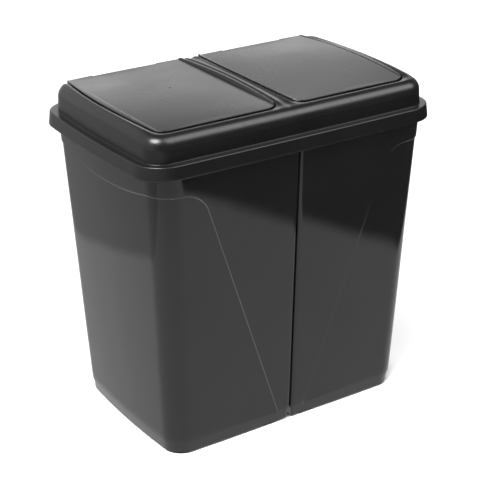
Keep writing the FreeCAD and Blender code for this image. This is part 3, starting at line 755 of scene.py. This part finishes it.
def wall_levels(settings):
    """The band, its rounded top edge, the ledge and the fillet at the dome's foot: two outlines,
    the share between them, and the height of each level."""
    edge = settings.band_edge / MM
    band = [(0.6, BAND_Z), (0.18, BAND_Z + 0.18)]
    band += [(BAND_DRAFT * f, mix(BAND_Z + 0.6, LEDGE_Z - edge, f)) for f in (k / 6 for k in range(7))]
    for angle in (k * math.pi / 10 for k in range(1, 6)):
        band.append((BAND_DRAFT + edge * (1 - math.cos(angle)), LEDGE_Z - edge * (1 - math.sin(angle))))
    levels = [(band_outline(inset), band_outline(inset), 0.0, z) for inset, z in band]
    ledge_out, ledge_in = band_outline(BAND_DRAFT + edge), dome_outline(LEDGE_Z, -LEDGE_FILLET)[0]
    levels += [(ledge_out, ledge_in, k / 5, LEDGE_Z) for k in range(1, 6)]
    for angle in (k * math.pi / 8 for k in range(1, 5)):
        outline = dome_outline(LEDGE_Z, -LEDGE_FILLET * (1 - math.sin(angle)))[0]
        levels.append((outline, outline, 0.0, LEDGE_Z + LEDGE_FILLET * (1 - math.cos(angle))))
    return levels


def frame_shell(settings):
    """Outer skin of the right-hand half of the frame as one sheet, from the band's bottom edge
    over the dome and down into the lid's pocket."""
    edge, sink = settings.pocket_edge / MM, settings.pocket_sink / MM
    rounding = [LID_GAP + edge * (1 - math.sin(k * math.pi / 6)) for k in range(4)]
    loops = [pocket_loop(grow) for grow in rounding]
    pocket, outer_loop, last = loops[0], loops[-1], len(loops[0]) - 1
    inner_loop, aperture_loop = pocket_loop(LID_GAP - 0.5), pocket_loop(-LEDGE_UNDER_LID)
    wall, _ = dome_outline(SHOULDER_START)
    cheek_outer, cheek_inner = [bisect(3.0, BACK_MIDDLE, lambda place, x=x: on_outline(wall, place).x > x)
                                for x in (HINGE_POCKET_HIGH_X, HINGE_POCKET_LOW_X)]
    first_arc = HINGE_STEPS + SIDE_STEPS
    turn_in = first_arc + ARC_STEPS // 2
    turn_out = first_arc + ARC_STEPS + POCKET_FRONT_STEPS + ARC_STEPS // 2
    lengths = [0.0]
    for a, b in zip(pocket, pocket[1:]):
        lengths.append(lengths[-1] + (b - a).length)

    def spread(i, start, end):
        return (lengths[i] - lengths[start]) / (lengths[end] - lengths[start])

    def source(i):
        """Where a column starts, and its place on the outline, or None for the columns that
        start on the middle line and cross the divider."""
        if i <= first_arc:
            return Vector((0, pocket[i].y)), None
        if i < turn_in:
            share = math.sin(math.pi / 2 * (i - first_arc) / (turn_in - first_arc))
            return Vector((0, mix(pocket[first_arc].y, on_outline(wall, 0).y, share))), None
        place = cheek_outer
        if i <= turn_out:
            place = spread(i, turn_in, turn_out) * FRONT_REACH
            if place > 1:
                place = 1 + (CORNER_MIDDLE - 1) * (place - 1) / (FRONT_REACH - 1)
        else:
            f = spread(i, turn_out, last)
            places_at = OUTER_PLACES + [(1.0, cheek_outer)]
            for (f0, p0), (f1, p1) in zip(places_at, places_at[1:]):
                if f0 <= f <= f1:
                    place = mix(p0, p1, (f - f0) / (f1 - f0))
        return on_outline(wall, place), place

    def border(at_wall, at_pocket, walled):
        """The top between the wall and a pocket, bunched at the wall as far as it is `walled`."""
        points = []
        for f in (k / BORDER_ROWS for k in range(BORDER_ROWS + 1)):
            share = mix(f, 1 - math.cos(math.pi / 2 * f), walled)
            spot = at_wall.lerp(at_pocket, share)
            sunk = sink * smooth((share - 0.72) / 0.28)
            points.append((spot.x, spot.y, top_height(settings, spot.x, spot.y) - sunk))
        if walled == 1.0:
            points[0] = (at_wall.x, at_wall.y, crown_z(at_wall.y) - shoulder_at(settings, at_wall.y))
        return points

    def pocket_column(i, start, place):
        """From the wall or the middle line over the border and down into the pocket."""
        near = min(1.0, max(0.0, (pocket[i].y - start.y) / 12)) if i > first_arc else 0.0
        points = border(start, pocket[i], near if place is None else 1.0)
        top = points[-1][2]
        for k, loop in enumerate(loops[1:], 1):
            points.append((*loop[i], top - edge * (1 - math.cos(k * math.pi / 6))))
        outer, inner, aperture = outer_loop[i], inner_loop[i], aperture_loop[i]
        ledge = min(LID_LEDGE_Z, top - edge - 1)
        points.append((*outer, ledge + 0.5))
        if HINGE_STEPS <= i <= last - HINGE_STEPS:
            return points + [(*inner, ledge), (*aperture, ledge), (*aperture, ledge - 0.4)]
        box_x = HINGE_POCKET_LOW_X if i < HINGE_STEPS else HINGE_POCKET_HIGH_X
        return points + [(box_x, outer.y, z) for z in (ledge, ledge - 0.5, SHELF_Z)]

    def rear_column(place):
        """From the wall up the rear shoulder, over the rear wall and onto the hinge shelf."""
        start = on_outline(wall, place)
        shoulder = shoulder_at(settings, start.y)
        base = crown_z(start.y) - shoulder
        rise = REAR_WALL_Z - 0.6 - base
        into = on_outline(dome_outline(SHOULDER_START, 1.0)[0], place) - start

        def y_at(up):
            return start.y + into.y * (shoulder - math.sqrt(shoulder ** 2 - up ** 2))

        inner_y = min(REAR_WALL_Y, y_at(rise) - 1.6)
        ups = [rise * k / (BORDER_ROWS - 3) for k in range(BORDER_ROWS - 2)]
        profile = [(y_at(up), base + up) for up in ups]
        top_y = y_at(rise)
        profile += [(top_y - 0.18, REAR_WALL_Z - 0.18), (top_y - 0.6, REAR_WALL_Z),
                    (mix(top_y - 0.6, inner_y + 0.4, 0.7), REAR_WALL_Z), (inner_y + 0.4, REAR_WALL_Z),
                    (inner_y + 0.12, REAR_WALL_Z - 0.12), (inner_y, REAR_WALL_Z - 0.4),
                    (inner_y, SHELF_Z + 0.5), (inner_y - 0.5, SHELF_Z), (SHELF_FRONT_Y, SHELF_Z),
                    (SHELF_FRONT_Y, LID_LEDGE_Z)]
        return [(start.x, y, z) for y, z in profile]

    starts = [(0, on_outline(wall, place), place)
              for place in (mix(cheek_inner, BACK_MIDDLE, k / FAN_STEPS) for k in range(FAN_STEPS))]
    for k in range(FAN_STEPS):
        y = mix(on_outline(wall, BACK_MIDDLE).y, pocket[0].y, 1 - math.cos(math.pi / 2 * k / FAN_STEPS))
        starts.append((0, Vector((0, y)), None if k else BACK_MIDDLE))
    starts += [(i, *source(i)) for i in range(len(pocket))]
    places = [place for _, _, place in starts]
    columns = [pocket_column(*start) for start in starts]
    ring_end = len(columns) - 1
    for k in range(REAR_STEPS + 1):
        places.append(mix(cheek_outer, cheek_inner, k / REAR_STEPS))
        columns.append(rear_column(places[-1]))
    shell = Shell()
    indices = [shell.row(column) for column in columns]
    depth = min(len(column) for column in columns)
    for a, row in enumerate(indices):
        after = indices[(a + 1) % len(indices)]
        # The cheeks between the pocket's sides and its back stay open lower down.
        for k in range(depth - 3 if a == ring_end or after is indices[0] else depth - 1):
            shell.faces.append((after[k], after[k + 1], row[k + 1], row[k]))

    order = sorted((i for i, place in enumerate(places) if place is not None), key=lambda i: places[i])
    grid = [[(*on_outline(outer, places[i]).lerp(on_outline(inner, places[i]), share), z) for i in order]
            for outer, inner, share, z in wall_levels(settings)]
    foot_row, top_row = grid[-1], [columns[i][0] for i in order]
    for f in (k / WALL_ROWS for k in range(1, WALL_ROWS + 1)):
        grid.append([tuple(mix(a, b, f) for a, b in zip(low, high)) for low, high in zip(foot_row, top_row)])
    shell.skin([shell.row(points) for points in grid])
    return shell.add(shell.mirrored())


def prism_x(profile, low_x, high_x, hole=None, bevel=0.35):
    """Closed solid along X from a profile in Y and Z, with small bevels and an optional hole
    whose points pair off with the profile's."""
    shell = Shell()
    centre = Vector((sum(p[0] for p in profile) / len(profile), sum(p[1] for p in profile) / len(profile)))

    def ring(points, x, pull):
        placed = []
        for y, z in points:
            towards = centre - Vector((y, z))
            towards = towards.normalized() * pull if towards.length > 1e-6 else towards
            placed.append((x, y + towards.x, z + towards.y))
        return shell.row(placed)

    rows = [ring(profile, low_x, bevel), ring(profile, low_x + bevel, 0), ring(profile, high_x - bevel, 0),
            ring(profile, high_x, bevel)]
    if hole:
        rows += [ring(hole, high_x, -bevel / 3), ring(hole, low_x, -bevel / 3)]
        shell.skin(rows + [rows[0]], closed=True)
    else:
        shell.skin(rows, closed=True)
        shell.faces.append(tuple(reversed(rows[0])))
        shell.faces.append(tuple(rows[-1]))
    return shell


def circle_yz(radius, count=36, y=HINGE_Y, z=HINGE_Z):
    return [(y + radius * math.cos(2 * math.pi * k / count), z + radius * math.sin(2 * math.pi * k / count))
            for k in range(count)]


def ears_shell():
    """The frame's hinge ears: a bored boss on a post, on each side of every knuckle."""
    shell = Shell()
    for middle_x in KNUCKLE_X:
        for end in (-1, 1):
            near = middle_x + end * (KNUCKLE_LENGTH / 2 + EAR_GAP)
            low_x, high_x = sorted((near, near + end * EAR_THICKNESS))
            shell.add(prism_x(circle_yz(KNUCKLE_R), low_x, high_x, circle_yz(PIN_BORE_R)))
            front, back = HINGE_Y - EAR_FRONT, HINGE_Y - KNUCKLE_R + 1.6
            post = [(front, SHELF_Z - 1), (back + EAR_STEP, SHELF_Z - 1), (back + EAR_STEP, HINGE_Z - 3.3),
                    (back, HINGE_Z - 1.5), (back, HINGE_Z + 1.2), (front + 3.4, HINGE_Z + 1.2),
                    (front + 0.9, HINGE_Z - 0.4), (front, HINGE_Z - 2.6)]
            shell.add(prism_x(post, low_x, high_x))
    return shell.add(shell.mirrored())


# Lids

LID_MIDDLE_Y, LID_HALF_Y = (LID_FRONT_Y + LID_REAR_Y) / 2, (LID_REAR_Y - LID_FRONT_Y) / 2
# Columns of faces across the lid: rail, slope, tray as far as the cutback, the cutback, tray,
# slope and rail; and rows along its middle.
LID_STEPS, CUTBACK_STRETCH, LID_ROWS = (3, 6, 14, 34, 16, 6, 3), 3, 54


def front_share(y):
    """0 at the hinge, 1 at the lid's front."""
    return (HINGE_Y - y) / (HINGE_Y - LID_FRONT_Y)


def tray_z(settings, x, y):
    """Height of the lid's tray: tilted to the front, a little crowned across, and rising to the
    rail's level at its outer side."""
    middle = (TRAY_LEFT + TRAY_RIGHT) / 2
    across = (x - middle) / ((TRAY_RIGHT - TRAY_LEFT) / 2)
    flat = LID_TOP_Z - settings.tray_tilt / MM * front_share(y)
    flat += settings.tray_crown / MM * (1 - across * across)
    outer = max(flat, crown_z(y) - settings.outer_drop / MM - 1.1 * smooth((y - 60) / 75))
    return mix(flat, outer, min(max((across + 1) / 2, 0.0), 1.0))


def lid_top(settings, x, y, left, right):
    """Height of the lid's top, between the tray's left and right edges at this place."""
    rail = crown_z(y) - settings.rail_drop / MM
    tray = tray_z(settings, x, y)
    soft = 1.2                             # where the two meet within this, they blend
    gap = max(0.0, soft - abs(tray - rail)) / soft
    lower = min(tray, rail) - gap * gap * soft * 0.25
    slope = settings.tray_slope / MM
    on_rail = max(smooth((left + slope - x) / slope), smooth((x - right + slope) / slope))
    fade = smooth((y + 122) / 9)
    outer_rail = mix(lower, rail, settings.outer_rail) if x > (left + right) / 2 else rail
    return mix(lower, outer_rail, on_rail * fade)


def tray_side(base, bow, y):
    return base + bow * (1 - ((y - LID_MIDDLE_Y) / (LID_HALF_Y + 1)) ** 2)


def lid_shell(settings):
    """Top and rim of the right-hand lid as one sheet."""
    edge, slope = settings.edge / MM, settings.tray_slope / MM
    inset = edge + settings.lid_play / MM
    plan = lid_plan(-inset)
    front_y, rear_y = LID_FRONT_Y + inset, LID_REAR_Y - inset
    front_r, rear_r = LID_FRONT_R - inset, LID_REAR_R - inset
    start, stop = front_y + front_r, rear_y - rear_r
    body_stop = min(LID_REAR_Y - CUTBACK - edge - 1.5, stop)
    short_y = LID_REAR_Y - CUTBACK - edge

    def x_at(stretches, y):
        """X of a side of the plan at a Y, through its two corner arcs."""
        for stretch in stretches:
            low, high = sorted((stretch(0).y, stretch(1).y))
            if low - 1e-3 <= y <= high + 1e-3:
                return x_on(stretch, y)
        raise RuntimeError("no side of the lid at this Y")

    def top_row(y, cutback_y):
        """Points across the lid, with their own Y where the lid is cut back for the frame."""
        low, high = x_at([plan[7], plan[0], plan[1]], y), x_at([plan[3], plan[4], plan[5]], y)
        left, right = tray_side(TRAY_LEFT, -TRAY_INNER_BOW, y), tray_side(TRAY_RIGHT, TRAY_OUTER_BOW, y)
        marks = [low, left, left + slope, CUTBACK_LOW_X, CUTBACK_HIGH_X, right - slope, right, high]
        marks = [min(max(mark, low), high) for mark in marks]
        spots = []
        for stretch, (a, b, count) in enumerate(zip(marks, marks[1:], LID_STEPS)):
            spot_y = cutback_y if stretch == CUTBACK_STRETCH else y
            spots += [(mix(a, b, k / count), spot_y) for k in range(count)]
            # The cutback's two sides each join a point further back to one further forward.
            if stretch in (CUTBACK_STRETCH - 1, CUTBACK_STRETCH):
                spots.append((b, spot_y))
        spots.append((high, y))
        return [(*spot, lid_top(settings, *spot, left, right)) for spot in spots]

    ys = [front_y + front_r * (1 - math.cos(math.pi / 2 * k / 14)) for k in range(14)]
    ys += [mix(start, body_stop, k / LID_ROWS) for k in range(LID_ROWS + 1)]
    rows = [top_row(y, y) for y in ys]
    for k in range(1, 7):
        y = mix(body_stop, rear_y, math.sin(math.pi / 2 * k / 6))
        rows.append(top_row(y, mix(body_stop, short_y, (y - body_stop) / (rear_y - body_stop))))
    shell = Shell()
    grid = [shell.row(row) for row in rows]
    shell.skin(grid)

    # Rounded edge and rim round the grid's outside.
    last_row, last = len(rows) - 1, len(rows[0]) - 1
    loop = [(0, i) for i in range(last + 1)] + [(j, last) for j in range(1, last_row + 1)]
    loop += [(last_row, i) for i in range(last - 1, -1, -1)] + [(j, 0) for j in range(last_row - 1, 0, -1)]
    corners = [(Vector((plan[1](1).x, start)), -1), (Vector((plan[2](1).x, start)), 1),
               (Vector((plan[6](1).x, stop)), -1), (Vector((plan[5](1).x, stop)), 1)]

    def outward(j, i):
        x, y, _ = rows[j][i]
        if j == last_row and 0 < i < last:
            return Vector((0, 1))
        if j == 0:
            return Vector((0, -1))
        for centre, east in corners:
            if (y - centre.y) * centre.y > 0 and (x - centre.x) * east > 0:
                return (Vector((x, y)) - centre).normalized()
        bow, east = (LID_INNER_BOW, -1) if i == 0 else (LID_OUTER_BOW, 1)
        return Vector((east, (y - LID_MIDDLE_Y) / bow_radius(LID_HALF_Y, bow))).normalized()

    def ring(reach, height):
        points = []
        for j, i in loop:
            x, y, z = rows[j][i]
            out = outward(j, i) * reach
            points.append((x + out.x, y + out.y, height(y, z)))
        return shell.row(points)

    rings = [ring(edge * math.sin(angle), lambda y, z, angle=angle: z - edge * (1 - math.cos(angle)))
             for angle in (k * math.pi / 10 for k in range(1, 6))]
    rings.append(ring(edge, lambda y, z: LID_TOP_Z - LID_RIM_DEPTH - LID_TILT_DROP * front_share(y)))
    rim = [[grid[j][i] for j, i in loop]] + rings
    shell.skin(rim[::-1], closed=True)
    return shell


def knuckles_shell():
    """Bored knuckles under the lid's back corners, with the web that joins them to it."""
    shell = Shell()
    steps = 48
    top = LID_TOP_Z - SKIN + 0.6 - HINGE_Z
    for middle_x in KNUCKLE_X:
        profile, hole = [], []
        for k in range(steps):
            angle = 2 * math.pi * (k + 0.5) / steps
            dy, dz = math.cos(angle), math.sin(angle)
            reach = KNUCKLE_R
            if dz > 0:
                to_side = KNUCKLE_R / abs(dy) if abs(dy) > 1e-6 else 1e9
                reach = max(reach, min(to_side, top / dz))
            profile.append((HINGE_Y + dy * reach, HINGE_Z + dz * reach))
            hole.append((HINGE_Y + dy * PIN_BORE_R, HINGE_Z + dz * PIN_BORE_R))
        shell.add(prism_x(profile, middle_x - KNUCKLE_LENGTH / 2, middle_x + KNUCKLE_LENGTH / 2, hole,
                          bevel=0.25))
    return shell


# Operators

class BinsOperator(bpy.types.Operator):
    """Build the two bins with their raised panels, plinths and rims"""
    bl_idname = "recycling_bin.bins"
    bl_label = "Bins"

    def execute(self, context):
        settings = context.scene.recycling_bins
        material = bin_material(settings)
        for side, name in ((1, "right"), (-1, "left")):
            shell = bin_shell(settings, side)
            if side < 0:
                shell = shell.mirrored()
            make_piece(f"{name}_bin_body", shell, material, "bins", [f"{name}_bin"], crease=34)
        return {"FINISHED"}


class FrameOperator(bpy.types.Operator):
    """Build the lid frame with its band, dome, pockets and hinge ears"""
    bl_idname = "recycling_bin.frame"
    bl_label = "Lid frame"

    def execute(self, context):
        settings = context.scene.recycling_frame
        make_piece("lid_frame_shell", frame_shell(settings), frame_material(settings), "frame",
                   ["lid_frame"], thickness=SKIN - 0.1, extra=ears_shell(), crease=38)
        return {"FINISHED"}


class LidsOperator(bpy.types.Operator):
    """Build the two lids with their trays, rails and hinge knuckles"""
    bl_idname = "recycling_bin.lids"
    bl_label = "Lids"

    def execute(self, context):
        settings = context.scene.recycling_lids
        material = lid_material(context.scene.recycling_frame)
        for name, flip in (("right", False), ("left", True)):
            shell, knuckles = lid_shell(settings), knuckles_shell()
            if flip:
                shell, knuckles = shell.mirrored(), knuckles.mirrored()
            make_piece(f"{name}_lid_shell", shell, material, f"lid_on_{name}", [f"{name}_lid"],
                       thickness=SKIN - 0.3, extra=knuckles, crease=38)
        return {"FINISHED"}


class FittingsOperator(bpy.types.Operator):
    """Finish the feet and the hinge pins, which keep their own shapes"""
    bl_idname = "recycling_bin.fittings"
    bl_label = "Feet and pins"

    def execute(self, context):
        base = linear("#0C0C0C")
        # Thermoplastic rubber, moulded: a dull even black.
        rubber = plastic("Moulded thermoplastic rubber", base, 1.4, 0.75,
                         peel=(6.0, 0.01), grain=(0.8, 0.02), scuff=0.1)
        # Nylon, moulded: slightly waxy, with fine grain.
        nylon = plastic("Moulded nylon", base, 1.3, 0.4,
                        peel=(4.0, 0.003), grain=(0.7, 0.002), scuff=0.1)
        for name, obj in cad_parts.items():
            material = rubber if "foot" in name else nylon if "pin" in name else None
            if material:
                for slot in obj.material_slots:
                    slot.material = material
        return {"FINISHED"}


class StageOperator(bpy.types.Operator):
    """Set up the floor, the studio light and the camera"""
    bl_idname = "recycling_bin.stage"
    bl_label = "Stage"

    def execute(self, context):
        settings = context.scene.recycling_stage
        make_floor(settings)
        make_studio()
        make_camera(settings)
        context.scene.view_settings.view_transform = "Standard"
        return {"FINISHED"}


def make_floor(settings):
    half = settings.floor_size / 2
    mesh = bpy.data.meshes.new("studio_floor")
    mesh.from_pydata([(-half, -half, 0), (half, -half, 0), (half, half, 0), (-half, half, 0)], [],
                     [(0, 1, 2, 3)])
    floor = bpy.data.objects.new("studio_floor", mesh)
    bpy.context.scene.collection.objects.link(floor)
    material, tree = new_material("Painted studio floor")
    mesh.materials.append(material)
    white = (*settings.floor_colour, 1)
    rays = add_node(tree, "ShaderNodeLightPath").outputs
    place = add_node(tree, "ShaderNodeNewGeometry").outputs["Position"]
    diffuse = add_node(tree, "ShaderNodeBsdfDiffuse", {"Color": white}).outputs[0]
    glow = add_node(tree, "ShaderNodeEmission", {"Color": white, "Strength": 1.0}).outputs[0]
    # The camera sees the lit floor under the base and an evener white further out.
    past = vector(tree, "SUBTRACT", vector(tree, "ABSOLUTE", place), FOOT_HALF)
    away = vector(tree, "LENGTH", vector(tree, "MAXIMUM", past))
    seen = mix_shaders(tree, ramp(tree, away, SHADE_START, SHADE_END, 1.0, FAR_SHADE), glow, diffuse)
    # The floor is a roll of white paper, as wide as PAPER_HALF each way across ACROSS. The gloss
    # of the bins shows it white, with the dimmer studio on its left and the dark on its right.
    across = vector(tree, "DOT_PRODUCT", place, ACROSS)
    left = ramp(tree, across, -PAPER_HALF - 0.02, -PAPER_HALF + 0.03, 0.52, 0.86)
    right = ramp(tree, across, PAPER_HALF - 0.03, PAPER_HALF + 0.04, 1.0, 0.06)
    near = ramp(tree, vector(tree, "DOT_PRODUCT", place, BACK), -1.6, -0.4, 0.6, 1.0)
    strength = combine(tree, "MULTIPLY", combine(tree, "MULTIPLY", left, right), near)
    mirror = add_node(tree, "ShaderNodeEmission", {"Color": white}, {"Strength": strength}).outputs[0]
    glossy = mix_shaders(tree, rays["Is Glossy Ray"], diffuse, mirror)
    through = mix_shaders(tree, rays["Is Transmission Ray"], glossy, glow)
    final = mix_shaders(tree, rays["Is Camera Ray"], through, seen)
    add_node(tree, "ShaderNodeOutputMaterial", links={"Surface": final})


def make_studio():
    """White backdrop behind the object, soft boxes overhead, and darkness at the front."""
    world = bpy.data.worlds.new("Soft studio")
    bpy.context.scene.world = world
    world.use_nodes = True
    tree = world.node_tree
    tree.nodes.clear()
    way = add_node(tree, "ShaderNodeTexCoord").outputs["Generated"]
    up = add_node(tree, "ShaderNodeSeparateXYZ", links={0: way}).outputs["Z"]
    axes = {"up": up, "across": vector(tree, "DOT_PRODUCT", way, ACROSS),
            "back": vector(tree, "DOT_PRODUCT", way, BACK)}
    # The paper rises behind the object and fades upward and to both sides. The studio is
    # lighter on the left than on the right.
    paper = None
    for axis, *limits in PAPER_GLOW:
        step = ramp(tree, axes[axis], *limits)
        paper = step if paper is None else combine(tree, "MULTIPLY", paper, step)
    side = combine(tree, "MULTIPLY", ramp(tree, axes["across"], -0.60, -0.10, 0.85, 0.08),
                   ramp(tree, up, 0.55, 0.90, 1.0, 0.30))
    total = combine(tree, "MAXIMUM", paper, side)
    for direction, start, full, strength in SOFT_BOXES:
        facing = vector(tree, "DOT_PRODUCT", way, Vector(direction).normalized())
        total = combine(tree, "ADD", total, ramp(tree, facing, start, full, 0.0, strength))
    light = add_node(tree, "ShaderNodeBackground", {"Color": (1, 1, 1, 1)}, {"Strength": total})
    backdrop = add_node(tree, "ShaderNodeBackground", {"Color": (1, 1, 1, 1), "Strength": 1.0})
    rays = add_node(tree, "ShaderNodeLightPath").outputs
    final = mix_shaders(tree, rays["Is Camera Ray"], light.outputs[0], backdrop.outputs[0])
    add_node(tree, "ShaderNodeOutputWorld", links={"Surface": final})


def make_camera(settings):
    data = bpy.data.cameras.new("Camera")
    data.sensor_width = 36.0
    data.lens = settings.lens
    data.shift_x, data.shift_y = CAMERA_SHIFT
    camera = bpy.data.objects.new("Camera", data)
    bpy.context.scene.collection.objects.link(camera)
    place = Vector(CAMERA_PLACE)
    turn = (Vector(CAMERA_TARGET) - place).to_track_quat("-Z", "Y").to_matrix().to_4x4()
    camera.matrix_world = Matrix.Translation(place) @ turn @ Matrix.Rotation(CAMERA_ROLL, 4, "Z")
    bpy.context.scene.camera = camera


class RecyclingBinPanel(bpy.types.Panel):
    """Lists the operators that build the double recycling bin"""
    bl_idname = "VIEW3D_PT_recycling_bin"
    bl_label = "Recycling Bin"
    bl_space_type = "VIEW_3D"
    bl_region_type = "UI"
    bl_category = "Recycling Bin"

    def draw(self, context):
        for operator in OPERATORS:
            self.layout.operator(operator.bl_idname)


OPERATORS = (BinsOperator, FrameOperator, LidsOperator, FittingsOperator, StageOperator)
GROUPS = {"recycling_bins": BinSettings, "recycling_frame": FrameSettings, "recycling_lids": LidSettings,
          "recycling_stage": StageSettings}


def register():
    for cls in (*GROUPS.values(), *OPERATORS, RecyclingBinPanel):
        bpy.utils.register_class(cls)
    for name, group in GROUPS.items():
        setattr(bpy.types.Scene, name, bpy.props.PointerProperty(type=group))


def unregister():
    for name in GROUPS:
        delattr(bpy.types.Scene, name)
    for cls in reversed((*GROUPS.values(), *OPERATORS, RecyclingBinPanel)):
        bpy.utils.unregister_class(cls)


def main():
    register()
    for operator in OPERATORS:
        group, name = operator.bl_idname.split(".")
        getattr(getattr(bpy.ops, group), name)()


if __name__ == "__main__":
    main()
